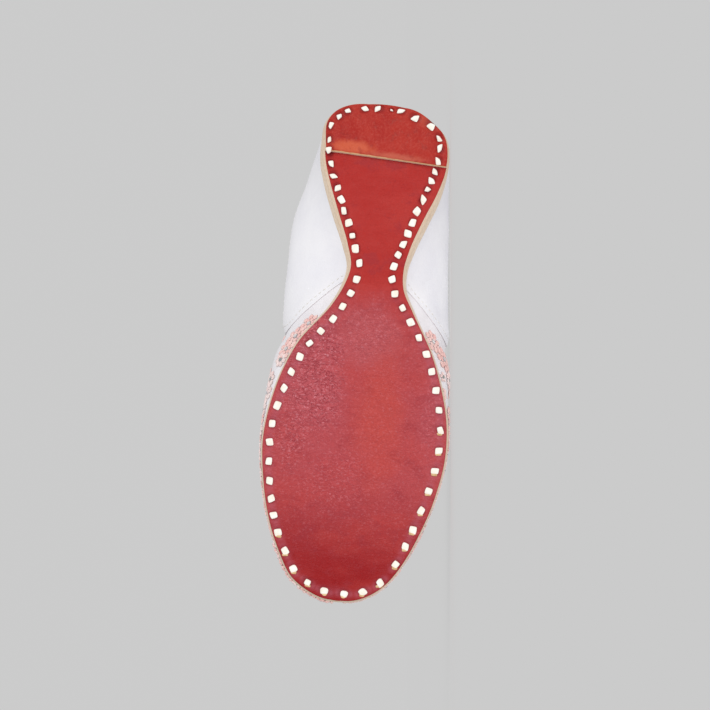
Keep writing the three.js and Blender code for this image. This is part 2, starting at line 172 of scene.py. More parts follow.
# The thong, charted: which stitch, how far round the edge as a station, millimetres in from the edge
THONG = {
    OUTER: [
        (3, 0.062, 3.0),
        (4, 0.093, 3.5),
        (5, 0.147, 2.2),
        (7, 0.210, 2.1),
        (10, 0.277, 2.6),
        (15, 0.368, 3.6),
        (18, 0.422, 4.8),
        (22, 0.490, 4.9),
        (25, 0.555, 4.0),
        (30, 0.689, 3.0),
        (34, 0.816, 2.8),
        (36, 0.915, 3.3),
        (37, 0.972, 3.6),
    ],
    INNER: [
        (5, 0.140, 3.0),
        (7, 0.206, 4.4),
        (10, 0.268, 5.2),
        (15, 0.355, 4.0),
        (18, 0.401, 5.2),
        (21, 0.452, 2.9),
        (26, 0.563, 2.9),
        (29, 0.649, 3.7),
        (32, 0.747, 4.0),
        (34, 0.820, 2.8),
        (35, 0.878, 2.5),
        (36, 0.932, 2.9),
        (37, 0.998, 3.6),
    ],
}


def smooth_curve(knots, values):
    """A smooth curve through a column of values."""
    knots = np.array(knots, float)
    values = np.array(values, float)
    spans = np.diff(knots)
    climbs = np.diff(values) / spans
    slopes = np.empty_like(values)
    slopes[0] = climbs[0]
    slopes[-1] = climbs[-1]
    slopes[1:-1] = (spans[1:] * climbs[:-1] + spans[:-1] * climbs[1:]) / (spans[:-1] + spans[1:])

    def at(where):
        where = np.asarray(where, float)
        i = np.clip(np.searchsorted(knots, where, side="right") - 1, 0, len(spans) - 1)
        t = (where - knots[i]) / spans[i]
        near = (1 + 2 * t) * (1 - t) ** 2
        bend = t * (1 - t) ** 2 * slopes[i] + t**2 * (t - 1) * slopes[i + 1]
        return near * values[i] + (1 - near) * values[i + 1] + spans[i] * bend

    return at


def station_of(share):
    return np.arccos(1 - 2 * np.clip(share, 0, 1)) / math.pi


def share_of(station):
    return (1 - np.cos(math.pi * np.asarray(station, float))) / 2


def column(rows, value):
    return smooth_curve([station_of(row[0]) for row in rows], [value(row) for row in rows])


def smoothstep(value, start, end):
    t = np.clip((value - start) / (end - start), 0, 1)
    return t * t * (3 - 2 * t)


half_width = {
    OUTER: column(OUTLINE, lambda row: row[1]),
    INNER: column(OUTLINE, lambda row: row[2]),
}
flare = {
    OUTER: column(FLARE, lambda row: row[1] * EDGE_FLARE),
    INNER: column(FLARE, lambda row: row[2] * EDGE_FLARE),
}
strip_at = column(STRIPS, lambda row: row[1] * SOLE_LENGTH)
strip_half = {
    OUTER: column(STRIPS, lambda row: row[2] * COLLAR_WIDTH),
    INNER: column(STRIPS, lambda row: row[3] * COLLAR_WIDTH),
}
strip_height = column(STRIPS, lambda row: row[4] * COLLAR_HEIGHT)
strip_swell = {
    OUTER: column(STRIPS, lambda row: row[5] * BALL_WIDTH),
    INNER: column(STRIPS, lambda row: row[6] * BALL_WIDTH),
}
strip_rise = column(STRIPS, lambda row: row[7] * COLLAR_HEIGHT)
strip_reach = column(STRIPS, lambda row: row[8] * BALL_WIDTH)
strip_drop = column(STRIPS, lambda row: row[9] * COLLAR_HEIGHT)
throat_station = float(station_of(THROAT))


def tread_height(x):
    share = np.asarray(x, float) / SOLE_LENGTH
    lift = (HEEL_LIFT_THICKNESS + GAP) * (1 - smoothstep(share, RAMP_FROM, RAMP_TO))
    spring = np.maximum(share - SPRING_FROM, 0) / (1 - SPRING_FROM)
    return lift + TOE_SPRING * spring**2


def outsole_top(x):
    return tread_height(x) + OUTSOLE_THICKNESS


def midsole_bottom(x):
    return outsole_top(x) + GAP


def midsole_top(x):
    forward = smoothstep(np.asarray(x, float) / SOLE_LENGTH, RAMP_FROM, RAMP_TO)
    thinner = MIDSOLE_HEEL_THICKNESS - MIDSOLE_THICKNESS
    return midsole_bottom(x) + MIDSOLE_HEEL_THICKNESS - thinner * forward


def seat_height(x):
    return midsole_top(x) + GAP


def edge(side, station, out):
    """Places on the sole's outline moved outwards, and the outward directions, both as x and y."""
    station = np.asarray(station, float)
    step = 1e-4
    start = np.maximum(station - step, 0)
    end = np.minimum(station + step, 1)
    along = SOLE_LENGTH * (share_of(end) - share_of(start))
    across = half_width[side](end) - half_width[side](start)
    length = np.hypot(along, across)
    outward = np.stack([-across / length, side * along / length], axis=-1)
    place = np.stack([SOLE_LENGTH * share_of(station), side * half_width[side](station)], axis=-1)
    return place + outward * np.asarray(out)[..., None], outward


def strip_points(side, station, ups):
    """Points of the upper's outer surface: a row for each station, a column for each share of the way up."""
    station = np.asarray(station, float)
    place, outward = edge(side, station, flare[side](station) - UPPER_INSET)
    foot = np.column_stack([place, seat_height(place[:, 0])])
    half = np.where(station < throat_station, strip_half[side](station), 0)
    top = np.column_stack([strip_at(station), side * half, strip_height(station)])
    level = np.column_stack([outward, np.zeros(len(station))])
    low = foot + level * strip_swell[side](station)[:, None]
    low[:, 2] += strip_rise(station)
    high = top + level * strip_reach(station)[:, None]
    step = 1e-3
    start = np.maximum(station - step, throat_station)
    end = np.minimum(np.maximum(station + step, throat_station + step), 1)
    fall = (strip_height(end) - strip_height(start)) / (strip_at(end) - strip_at(start))
    fall = np.where(station < throat_station, 0, fall)
    high[:, 2] += fall * (high[:, 0] - top[:, 0]) - strip_drop(station)
    t = np.asarray(ups, float)[None, :, None] if np.ndim(ups) == 1 else np.asarray(ups, float)[..., None]
    foot, low, high, top = (points[:, None, :] for points in (foot, low, high, top))
    return foot * (1 - t) ** 3 + 3 * low * t * (1 - t) ** 2 + 3 * high * t**2 * (1 - t) + top * t**3


# The lying shoe: its own directions, found from the flat faces that the record names
mounts = {mount["name"]: mount for mount in frame["record"]["mounts"]}
forepart_tread = Vector(mounts["outsole_tread"]["pos_m"])
heel_tread = Vector(mounts["heel_tread"]["pos_m"])
shoe_up = -Vector(mounts["outsole_tread"]["axis"]).normalized()
TREAD_PLACES = (Vector((155.0, 0.0, 0.0)), Vector((14.0, 2.0, 0.0)))
apart = TREAD_PLACES[0] - TREAD_PLACES[1]
seen = forepart_tread - heel_tread
beside = shoe_up.cross(seen)
shoe_forward = (apart.x * seen - apart.y * beside).normalized()
shoe_outer = shoe_up.cross(shoe_forward)
turn = Matrix((shoe_forward, shoe_outer, shoe_up)).transposed()
shift = forepart_tread - turn @ TREAD_PLACES[0] * 0.001
LYING = Matrix.Translation(shift) @ turn.to_4x4() @ Matrix.Scale(0.001, 4)


def pick(piece):
    bpy.ops.object.select_all(action="DESELECT")
    piece.select_set(True)
    bpy.context.view_layer.objects.active = piece


def name_piece(piece, name):
    piece.name = name
    piece.data.name = name
    return piece


def set_points(piece, points):
    piece.data.vertices.foreach_set("co", np.asarray(points, np.float32).ravel())
    piece.data.update()


def get_points(piece):
    points = np.empty(len(piece.data.vertices) * 3, np.float32)
    piece.data.vertices.foreach_get("co", points)
    return points.reshape(-1, 3).astype(float)


def get_normals(piece):
    normals = np.empty(len(piece.data.vertices) * 3, np.float32)
    piece.data.vertices.foreach_get("normal", normals)
    return normals.reshape(-1, 3)


def shaped_grid(name, places, finishes=None):
    """A grid whose points are moved to their places. Its columns may take different finishes."""
    across = len(places) - 1
    along = len(places[0]) - 1
    bpy.ops.mesh.primitive_grid_add(x_subdivisions=across, y_subdivisions=along, size=1)
    piece = name_piece(bpy.context.active_object, name)
    flat = get_points(piece)
    columns = np.rint((flat[:, 0] + 0.5) * across).astype(int)
    rows = np.rint((flat[:, 1] + 0.5) * along).astype(int)
    set_points(piece, places[columns, rows])
    if finishes is not None:
        for face in piece.data.polygons:
            face.material_index = finishes[min(columns[corner] for corner in face.vertices)]
    return piece


def merge_and_close(piece, fill=True):
    """Merges points that meet, closes the open ends and turns the faces outwards."""
    pick(piece)
    bpy.ops.object.mode_set(mode="EDIT")
    bpy.ops.mesh.select_all(action="SELECT")
    bpy.ops.mesh.remove_doubles(threshold=0.004)
    if fill:
        bpy.ops.mesh.select_all(action="DESELECT")
        bpy.ops.mesh.select_mode(type="EDGE")
        bpy.ops.mesh.select_non_manifold(extend=False, use_wire=False, use_multi_face=False,
                                         use_non_contiguous=False, use_verts=False)
        bpy.ops.mesh.fill_holes(sides=0)
        bpy.ops.mesh.select_mode(type="VERT")
    bpy.ops.mesh.select_all(action="SELECT")
    bpy.ops.mesh.normals_make_consistent(inside=False)
    bpy.ops.object.mode_set(mode="OBJECT")


def apply_modifiers(piece):
    pick(piece)
    for modifier in list(piece.modifiers):
        bpy.ops.object.modifier_apply(modifier=modifier.name)


def wear(piece, *finishes):
    slots = piece.data.materials
    for number, finish in enumerate(finishes):
        if number < len(slots):
            slots[number] = finish
        else:
            slots.append(finish)


def complete(piece, nodes=(), finishes=(), angle=None):
    """Dresses, smooths and lays down a piece, pressed flat where it meets the floor, hangs it on the root
    and hides the imported parts that it replaces.
    """
    wear(piece, *finishes)
    pick(piece)
    if angle is None:
        bpy.ops.object.shade_smooth()
    else:
        bpy.ops.object.shade_smooth_by_angle(angle=math.radians(angle))
    piece.data.transform(LYING)
    points = get_points(piece)
    points[:, 2] = np.maximum(points[:, 2], 0)
    set_points(piece, points)
    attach(piece, "root")
    if nodes:
        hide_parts(*nodes)


def turned_by(angle):
    return Matrix.Rotation(angle, 4, "Z")


def copy_of(piece, name):
    twin = bpy.data.objects.new(name, piece.data.copy())
    bpy.context.scene.collection.objects.link(twin)
    return twin


def join(pieces, name):
    bpy.ops.object.select_all(action="DESELECT")
    for piece in pieces:
        piece.select_set(True)
    bpy.context.view_layer.objects.active = pieces[0]
    bpy.ops.object.join()
    return name_piece(bpy.context.active_object, name)


# Finishes
def paint(red, green, blue):
    """A colour as the eye reads it, 0 to 255, in the shader's linear light."""
    values = []
    for value in (red, green, blue):
        value = value / 255
        values.append(value / 12.92 if value <= 0.04045 else ((value + 0.055) / 1.055) ** 2.4)
    return (*values, 1.0)


class Finish:
    """A material whose patterns are laid out in the shoe's own millimetres."""

    def __init__(self, name, roughness=0.6, specular=0.4, **others):
        self.material = bpy.data.materials.new(name)
        self.material.use_nodes = True
        self.nodes = self.material.node_tree.nodes
        self.links = self.material.node_tree.links
        self.shader = self.nodes["Principled BSDF"]
        self.set("Roughness", roughness)
        self.set("Specular IOR Level", specular)
        for key, value in others.items():
            self.set(key.title() + " Weight", value)
        place, turned, size = LYING.inverted().decompose()
        lying = {"Vector": self.node("TexCoord", "Object", {}), "Location": place,
                 "Rotation": turned.to_euler("XYZ"), "Scale": size}
        self.place = self.node("Mapping", "Vector", lying)
        self.color = None
        self.bumps = None

    def put(self, socket, value):
        if isinstance(value, bpy.types.NodeSocket):
            self.links.new(value, socket)
        else:
            socket.default_value = value

    def set(self, key, value):
        self.put(self.shader.inputs[key], value)

    def node(self, kind, result, inputs, **settings):
        node = self.nodes.new("ShaderNode" + kind)
        for key, value in settings.items():
            setattr(node, key, value)
        for key, value in inputs.items():
            self.put(node.inputs[key], value)
        return node.outputs[result]

    def noise(self, size, detail=3.0, roughness=0.55, distortion=0.0, stretch=None):
        place = self.place
        if stretch is not None:
            scale = [1 / share for share in stretch]
            place = self.node("Mapping", "Vector", {"Vector": place, "Scale": scale})
        return self.node("TexNoise", "Fac", {"Vector": place, "Scale": 1 / size, "Detail": detail,
                                             "Roughness": roughness, "Distortion": distortion})

    def ramp(self, value, start, end, low=0.0, high=1.0):
        inputs = {"Value": value, "From Min": start, "From Max": end, "To Min": low, "To Max": high}
        return self.node("MapRange", "Result", inputs, interpolation_type="SMOOTHSTEP")

    def axis(self, which):
        return self.node("SeparateXYZ", which, {"Vector": self.place})

    def math(self, operation, first, second):
        return self.node("Math", "Value", {0: first, 1: second}, operation=operation)

    def times(self, first, second):
        return self.math("MULTIPLY", first, second)

    def away_from(self, value, middle):
        return self.math("ABSOLUTE", self.math("SUBTRACT", value, middle), 0.0)

    def spot(self, centre, radii, ragged, grain=12.0):
        """One at a place and nothing beyond the radii, with a ragged border."""
        beside = self.node("VectorMath", "Vector", {0: self.place, 1: centre}, operation="SUBTRACT")
        shares = self.node("VectorMath", "Vector", {0: beside, 1: radii}, operation="DIVIDE")
        away = self.node("VectorMath", "Value", {0: shares}, operation="LENGTH")
        away = self.math("ADD", away, self.times(self.noise(grain, 4.0), ragged))
        return self.ramp(away, 0.25 + ragged / 2, 1.0 + ragged / 2, 1.0, 0.0)

    def pressing(self):
        """How near a stitch is, how much the leather swells between two and how far it is cut away."""
        kept = self.node("Attribute", "Vector", {}, attribute_name="pressing")
        return [self.node("SeparateXYZ", axis, {"Vector": kept}) for axis in "XYZ"]

    def mix(self, share, first, second):
        return self.node("Mix", 2, {0: share, 6: first, 7: second}, data_type="RGBA")

    def clouds(self, light, dark, start, end, *noise):
        """Clouds of a darker colour in a lighter one."""
        self.color = self.mix(self.ramp(self.noise(*noise), start, end), paint(*light), paint(*dark))

    def tint(self, share, weight, color):
        """Lays a colour over what is there."""
        if weight != 1:
            share = self.times(share, weight)
        self.color = self.mix(share, self.color, paint(*color))

    def bump(self, height, depth):
        """Adds relief: height is 0 to 1, depth is in millimetres."""
        inputs = {"Strength": 1.0, "Distance": depth * 0.001, "Height": height}
        if self.bumps is not None:
            inputs["Normal"] = self.bumps
        self.bumps = self.node("Bump", "Normal", inputs)

    def grain(self, size, depth):
        cells = self.node("TexVoronoi", "Distance", {"Vector": self.place, "Scale": 1 / size}, feature="F1")
        self.bump(cells, depth)

    def done(self):
        self.set("Base Color", self.color)
        if self.bumps is not None:
            self.set("Normal", self.bumps)
        return self.material


# The worn place, in the first row, and the painted sheen, in the others, of the red sole: middle, radii,
# raggedness, its size, weight, colour, share of painted glints and crease shade
SOLE_WEAR_AND_SHEEN = [
    ((156, -10, 0), (50, 17, 40), 0.7, 16.0, 0.70, (192, 68, 60), 0.0),
    ((113, 0, 0), (24, 24, 40), 0.8, 12.0, 0.50, (188, 90, 96), 0.5),
    ((138, 24, 0), (54, 22, 40), 0.9, 16.0, 0.60, (184, 82, 92), 1.0),
    ((186, 10, 0), (30, 32, 40), 1.0, 14.0, 0.22, (178, 68, 76), 0.45),
    ((150, -36, 0), (38, 10, 40), 0.7, 10.0, 0.45, (180, 78, 88), 0.5),
    ((168, 32, 0), (26, 13, 40), 0.9, 12.0, 0.0, (184, 82, 92), 0.8),
]

# The scuffs of the heel's second layer: middle, radii, raggedness, its size, weight, colour
LIFT_SCUFFS = [
    ((22.5, 18, 0), (5.0, 15, 20), 0.8, 5.0, 0.85, (206, 92, 58)),
    ((25.5, -4, 0), (3.0, 20, 20), 0.7, 5.0, 0.60, (198, 102, 78)),
    ((5.5, -22, 0), (6, 12, 20), 0.8, 4.0, 0.60, (196, 84, 60)),
]


def make_sole_red():
    finish = Finish("sole_red_leather", 0.5, 0.28)
    along = finish.axis("X")
    near, between, _ = finish.pressing()
    forepart = finish.ramp(along, 84, 118)
    finish.color = finish.mix(forepart, paint(176, 37, 32), paint(180, 66, 70))
    finish.tint(finish.ramp(along, 178, 236), 1, (150, 1, 8))
    pale = finish.noise(20, 3.0, 0.5, 0.0, (0.8, 2.0, 1.0))
    finish.tint(finish.ramp(pale, 0.42, 0.62), 0.30, (190, 60, 54))
    dark = finish.noise(9, 5.0, 0.65, 0.0, (1.0, 1.4, 1.0))
    finish.tint(finish.ramp(dark, 0.50, 0.64), 0.46, (152, 36, 46))
    glint_and_crease_mask = finish.times(forepart, 0.24)
    for centre, radii, ragged, size, weight, color, share in SOLE_WEAR_AND_SHEEN:
        spot = finish.spot(centre, radii, ragged, size)
        # The first spot tints real wear; the others paint sheen
        finish.tint(spot, weight, color)
        glint_and_crease_mask = finish.math("MAXIMUM", glint_and_crease_mask, finish.times(spot, share))
    glint_and_crease_mask = finish.times(glint_and_crease_mask, finish.ramp(along, 196, 238, 1.0, 0.10))
    # Painted glints: light pink specks where the sole is sheeny; the same noise also gives a fine relief
    glint_and_grain_noise = finish.noise(1.0, 3.0, 0.75, 0.5, (0.9, 1.5, 1.0))
    finish.tint(finish.times(finish.ramp(glint_and_grain_noise, 0.50, 0.68), glint_and_crease_mask), 0.85, (218, 136, 146))
    # Painted shade: dark lines in the creases among the glints
    creases = finish.away_from(finish.noise(3.4, 5.0, 0.74, 1.0, (0.9, 1.8, 1.0)), 0.5)
    finish.tint(finish.times(finish.ramp(creases, 0.0, 0.036, 1.0, 0.0), glint_and_crease_mask), 1, (132, 26, 40))
    finish.tint(finish.ramp(finish.noise(1.0, 3.0, 0.7), 0.54, 0.72), 0.22, (136, 30, 38))
    # Painted shade in the dent pressed round each stitch
    finish.tint(near, 0.92, (132, 22, 30))
    # Painted sheen on the leather that swells up between stitches
    finish.tint(finish.times(between, forepart), 0.60, (184, 96, 112))
    finish.grain(0.9, 0.12)
    finish.bump(glint_and_grain_noise, 0.30)
    finish.bump(creases, 0.50)
    finish.bump(finish.noise(7.0, 2.0, 0.55, 0.0, (0.6, 2.0, 1.0)), 0.28)
    finish.set("Roughness", finish.ramp(finish.noise(5, 4.0, 0.7), 0.3, 0.7, 0.42, 0.62))
    return finish.done()


def make_lift_red():
    finish = Finish("lift_red_leather", 0.5, 0.28)
    near, _, cut = finish.pressing()
    finish.clouds((164, 24, 12), (174, 39, 25), 0.35, 0.65, 14, 4.0)
    for centre, radii, ragged, size, weight, color in LIFT_SCUFFS:
        finish.tint(finish.spot(centre, radii, ragged, size), weight, color)
    finish.tint(finish.ramp(finish.noise(5, 5.0, 0.65), 0.52, 0.70), 0.5, (140, 38, 32))
    finish.tint(finish.ramp(finish.noise(1.3, 3.0, 0.7), 0.42, 0.75, 0.0, 0.25), 1, (205, 96, 80))
    # Painted shade in the dent pressed round each stitch
    finish.tint(near, 0.85, (134, 28, 28))
    finish.tint(finish.ramp(cut, 0.22, 0.50), 1, (214, 170, 126))
    finish.grain(0.9, 0.12)
    finish.bump(finish.noise(2.6, 3.0), 0.25)
    finish.set("Roughness", finish.ramp(finish.noise(4, 4.0, 0.7), 0.3, 0.7, 0.42, 0.64))
    return finish.done()


def make_cut_edge(name, light, dark, layer):
    """The cut edge of a leather layer: fine fibres, pressed a little flat along the layer."""
    finish = Finish(name, 0.88, 0.2)
    fibres = finish.noise(0.7, 3.0, 0.6, 0.0, (1.8, 1.8, layer))
    finish.color = finish.mix(finish.ramp(fibres, 0.30, 0.75), paint(*light), paint(*dark))
    finish.tint(finish.ramp(finish.noise(9, 4.0), 0.50, 0.72), 0.35, dark)
    finish.bump(fibres, 0.12)
    finish.bump(finish.noise(0.35, 2.0), 0.08)
    return finish.done()


def make_insole_leather():
    finish = Finish("insole_leather", 0.6, 0.35)
    finish.clouds((226, 214, 194), (214, 198, 174), 0.35, 0.65, 22)
    finish.grain(1.1, 0.06)
    finish.bump(finish.noise(3.0), 0.10)
    return finish.done()


def make_vamp_cloth():
    finish = Finish("vamp_cloth", 0.82, 0.25, sheen=0.15)
    finish.clouds((247, 244, 248), (240, 236, 240), 0.35, 0.65, 18)
    for thread in ((1.0, 0.25, 0.25), (0.25, 1.0, 1.0)):
        finish.bump(finish.noise(0.5, 1.0, 0.5, 0.0, thread), 0.06)
    return finish.done()


def make_quarter_leather():
    finish = Finish("quarter_leather", 0.62, 0.35)
    finish.clouds((244, 243, 247), (238, 237, 243), 0.35, 0.65, 25)
    finish.tint(finish.ramp(finish.noise(13, 5.0, 0.65), 0.56, 0.76), 0.30, (224, 222, 228))
    groove = finish.ramp(finish.away_from(finish.axis("Y"), BACK_SEAM_AT), 0.0, 0.45, 1.0, 0.0)
    groove = finish.times(groove, finish.ramp(finish.axis("X"), 8, 12, 1, 0))
    finish.tint(groove, 0.6, (222, 219, 225))
    finish.bump(groove, -0.5)
    finish.grain(0.8, 0.05)
    finish.bump(finish.noise(2.2), 0.08)
    return finish.done()


def make_thong(name, light, dark, stain_and_shade):
    finish = Finish(name, 0.6, 0.4)
    finish.clouds(light, dark, 0.35, 0.7, 3.0)
    # Real stains on the rawhide; on the underside pads this also paints shade
    finish.tint(finish.ramp(finish.noise(1.2, 4.0, 0.7), 0.58, 0.75), stain_and_shade, (196, 156, 112))
    finish.bump(finish.noise(0.7, 3.0, 0.65), 0.12)
    return finish.done()


def make_plain(name, roughness, specular, clouds, relief=None, **others):
    """A clouded colour, with one fine relief given as depth and noise."""
    finish = Finish(name, roughness, specular, **others)
    finish.clouds(*clouds)
    if relief is not None:
        finish.bump(finish.noise(*relief[1:]), relief[0])
    return finish.done()


def make_floss(name, light, dark):
    return make_plain(name, 0.55, 0.4, (light, dark, 0.35, 0.65, 4.0), (0.06, 0.22, 2.0, 0.6), sheen=0.35)


sole_red = make_sole_red()
lift_red = make_lift_red()
outsole_edge = make_cut_edge("outsole_cut_edge", (238, 216, 194), (222, 196, 168), 0.8)
midsole_edge = make_cut_edge("midsole_cut_edge", (238, 221, 202), (222, 199, 174), 0.9)
insole_leather = make_insole_leather()
lining_cloth = make_plain("lining_cloth", 0.9, 0.2, ((232, 226, 214), (222, 214, 200), 0.35, 0.65, 16),
                          (0.08, 0.45, 2.0, 0.6))
vamp_cloth = make_vamp_cloth()
quarter_leather = make_quarter_leather()
raw_edge = make_plain("raw_cut_edge", 0.9, 0.2, ((242, 238, 239), (230, 224, 225), 0.35, 0.7, 1.2, 4.0),
                      (0.10, 0.4, 2.0))
white_thread = make_plain("white_thread", 0.7, 0.3, ((240, 238, 234), (222, 218, 212), 0.35, 0.7, 2.0, 2.0),
                          (0.05, 0.2, 1.0))
thong_rawhide = make_thong("thong_rawhide", (255, 252, 244), (246, 238, 222), 0.35)
thong_underside_shade = make_thong("thong_underside_shade", (226, 196, 150), (198, 158, 108), 0.8)
FLOSS = {
    "pink": make_floss("pink_floss", (253, 219, 213), (248, 199, 193)),
    "pale": make_floss("pale_pink_floss", (252, 235, 232), (249, 219, 216)),
    "lilac": make_floss("lilac_floss", (222, 212, 232), (200, 192, 218)),
    "silver": make_floss("silver_floss", (232, 230, 230), (204, 204, 208)),
}
grey_bead = make_plain("grey_bead", 0.12, 0.6, ((192, 198, 198), (146, 158, 156), 0.45, 0.55, 9.0, 1.0),
                       coat=0.6)
sequin_pearl = make_plain("sequin_pearl", 0.22, 0.7, ((206, 214, 240), (232, 214, 236), 0.4, 0.6, 6.0, 2.0),
                          coat=0.8, sheen=0.2)


# The stitches at the back of the heel: side, place along, place across, size
HEEL_BACK = [
    (OUTER, 2.1, 6.6, 1.05),
    (OUTER, 3.1, 13.4, 0.95),
    (INNER, 2.0, 0.1, 0.50),
    (INNER, 2.1, -4.6, 0.95),
    (INNER, 4.7, -11.7, 1.15),
    (INNER, 7.4, -20.0, 1.30),
]


# Where each stitch of the thong crosses the sole
def thong_places():
    places = []
    for side, x, y, size in HEEL_BACK:
        outward = Vector((-1.0, y * abs(y) / 480)).normalized()
        places.append((side, np.array([x, y]), np.array(outward), 0.0, size))
    for side, rows in THONG.items():
        counts = [row[0] for row in rows]
        station = smooth_curve(counts, [row[1] for row in rows])
        inset = smooth_curve(counts, [row[2] for row in rows])
        for count in range(counts[0], counts[-1] + 1):
            where = float(station(count))
            place, outward = edge(side, where, -float(inset(count)))
            places.append((side, place, outward, where, 1.0))
    return places


stitches = thong_places()


# How far a stitch presses the leather and how far this swells between two, both along and across the stitch
PRESSED = (2.75, 2.05)
SWOLLEN = (4.6, 1.7)


def near_stitches(points):
    """At each point: how near it is to a stitch, and how much it swells up between two stitches."""
    near = np.zeros(len(points))
    line = np.zeros(len(points))
    for _, spot, outward, _, size in stitches:
        aside = points[:, :2] - spot
        out = aside @ outward
        along = aside @ np.array([-outward[1], outward[0]])
        pressed = (along / size / PRESSED[0]) ** 2 + (out / size / PRESSED[1]) ** 2
        swollen = (along / SWOLLEN[0]) ** 4 + (out / SWOLLEN[1]) ** 2
        near = np.maximum(near, np.exp(-(pressed**2)))
        line = np.maximum(line, np.exp(-swollen))
    return near, line * (1 - near)


def show_pressing(piece, near, between, cut=0.0):
    """Keeps them as an attribute that the finish reads, with how much of a place is cut away."""
    kept = np.column_stack([near, between, cut + 0 * near])
    layer = piece.data.attributes.new("pressing", "FLOAT_VECTOR", "POINT")
    layer.data.foreach_set("vector", kept.astype(np.float32).ravel())


FOREPART_TRIM = 0.38
CAP_BOW = 0.07
CAP_RINGS = 7
ROUND_OFF = 0.5


def rim(side, stations, end):
    """Places round one side, outward directions and flare, with rings that close the middle of each end."""
    station = np.linspace(0, 1, stations + 1) * end
    place, outward = edge(side, station, 0 * station)
    spread = flare[side](station) * (1 - FOREPART_TRIM * smoothstep(station, 0.34, 0.46))
    parts = [(place, outward, spread)]
    shares = np.linspace(1, 0, CAP_RINGS + 1)[:-1]
    for at, way in ((0.0, -1.0), (1.0, 1.0)):
        if at > end:
            break
        here = edge(side, at, 0.0)[0]
        middle = (here[1] + edge(-side, at, 0.0)[0][1]) / 2
        trim = 1 - FOREPART_TRIM * at
        even = trim * (flare[side](at) + flare[-side](at)) / 2
        y = middle + (here[1] - middle) * (1 - shares)
        x = here[0] + way * CAP_BOW * abs(here[1] - middle) * (1 - (1 - shares) ** 2)
        cap = (np.column_stack([x, y]), np.tile([way, 0.0], (CAP_RINGS, 1)),
               trim * flare[side](at) * (1 - shares) + even * shares)
        parts = [cap, *parts] if way < 0 else [*parts, [part[::-1] for part in cap]]
    return [np.concatenate(group) for group in zip(*parts)]


def sole_layer(name, stations, ends, bottom, top, low, high, across, side_rows, inset=0.0):
    """One layer of the sole, wrapped round from its bottom over its edges to its top."""
    rims = {side: rim(side, stations, ends[side]) for side in (OUTER, INNER)}
    columns = []
    finishes = []

    def sides(side, lean, back):
        place, outward, spread = rims[side]
        return place + outward * (lean * spread - inset - back)[:, None]

    def add(place, height, finish):
        columns.append(np.column_stack([place, height]))
        finishes.append(finish)

    def add_face(start, end, shares, height, last):
        for share in shares:
            place = start * (1 - share) + end * share
            add(place, height(place[:, 0]), last if share == 1 else 0)

    def add_edge(side, share, back, rise):
        place = sides(side, low + (high - low) * share, back)
        start = bottom(place[:, 0])
        end = top(place[:, 0])
        if share == 0:
            add(place, start + rise, 1 if side == OUTER or back == 0 else 0)
        elif share == 1:
            add(place, end + rise, 1)
        else:
            add(place, start + ROUND_OFF + (end - start - 1.6 * ROUND_OFF) * share, 1)

    turns = np.linspace(0, math.pi / 2, 4)[1:]
    soft = 0.6 * ROUND_OFF
    rises = [(0, ROUND_OFF * (1 - math.sin(turn)), ROUND_OFF * (1 - math.cos(turn))) for turn in turns]
    rises += [(row / side_rows, 0.0, 0.0) for row in range(1, side_rows)]
    rises += [(1, soft * (1 - math.sin(turn)), -soft * (1 - math.cos(turn))) for turn in turns[::-1]]
    even = np.linspace(0, 1, across + 1)
    shares = 0.72 * even + 0.28 * share_of(even)
    add_face(sides(OUTER, low, ROUND_OFF), sides(INNER, low, ROUND_OFF), shares, bottom, 0)
    for rise in rises:
        add_edge(INNER, *rise)
    add_face(sides(INNER, high, soft), sides(OUTER, high, soft), np.linspace(0, 1, 16), top, 1)
    for rise in rises[::-1]:
        add_edge(OUTER, *rise)
    finishes[-3:] = [0, 0, 0]
    piece = shaped_grid(name, np.stack([*columns, columns[0]]), finishes)
    merge_and_close(piece)
    return piece


WHOLE = {OUTER: 1.0, INNER: 1.0}

# Depth in millimetres under a stitch and height of the swelling between two, outsole and heel lift
SOLE_PRESS, SOLE_SWELL = 1.0, 0.16
LIFT_PRESS, LIFT_SWELL = 0.9, 0.12
WAVE_HEIGHT = 0.10
CUT_DEPTH = 0.8

outsole = sole_layer("outsole_leather", 420, WHOLE, tread_height, outsole_top, 0, 0.5, 84, 5)
points = get_points(outsole)
under = points[:, 2] < tread_height(points[:, 0]) + 0.3
near, between = near_stitches(points)
waves = WAVE_HEIGHT * np.sin(points[:, 0] * 0.21 + 0.05 * points[:, 1]) ** 2
points[:, 2] += np.where(under, SOLE_PRESS * near - SOLE_SWELL * between + waves, 0)
set_points(outsole, points)
show_pressing(outsole, near, between)
complete(outsole, ["outsole"], [sole_red, outsole_edge])

lift_ends = {side: float(station_of((HEEL_LIFT_LENGTH - side * HEEL_LIFT_SKEW / 2) / SOLE_LENGTH))
             for side in (OUTER, INNER)}
heel_lift = sole_layer("heel_lift_leather", 84, lift_ends, lambda x: 0 * x,
                       lambda x: HEEL_LIFT_THICKNESS + 0 * x, -0.2, 0.15, 90, 5)
points = get_points(heel_lift)
x, y, z = points.T
front = HEEL_LIFT_LENGTH - HEEL_LIFT_SKEW / 2 * y / (HEEL_WIDTH / 2)
slope = 0.40 + 0.55 * smoothstep(y, -30, 12) + 0.10 * np.sin(y * 0.9) + 0.06 * np.sin(y * 2.3)
cut = np.clip((x - front + slope) / slope, 0, 1)
near, between = near_stitches(points)
z += np.where(z < 0.3, LIFT_PRESS * near - LIFT_SWELL * between + CUT_DEPTH * cut, 0)
set_points(heel_lift, points)
show_pressing(heel_lift, near, between, cut)
for face in heel_lift.data.polygons:
    if face.normal.x > 0.8 and face.center.x > 20:
        face.material_index = 1
complete(heel_lift, ["heel_lift"], [lift_red, outsole_edge], 35)

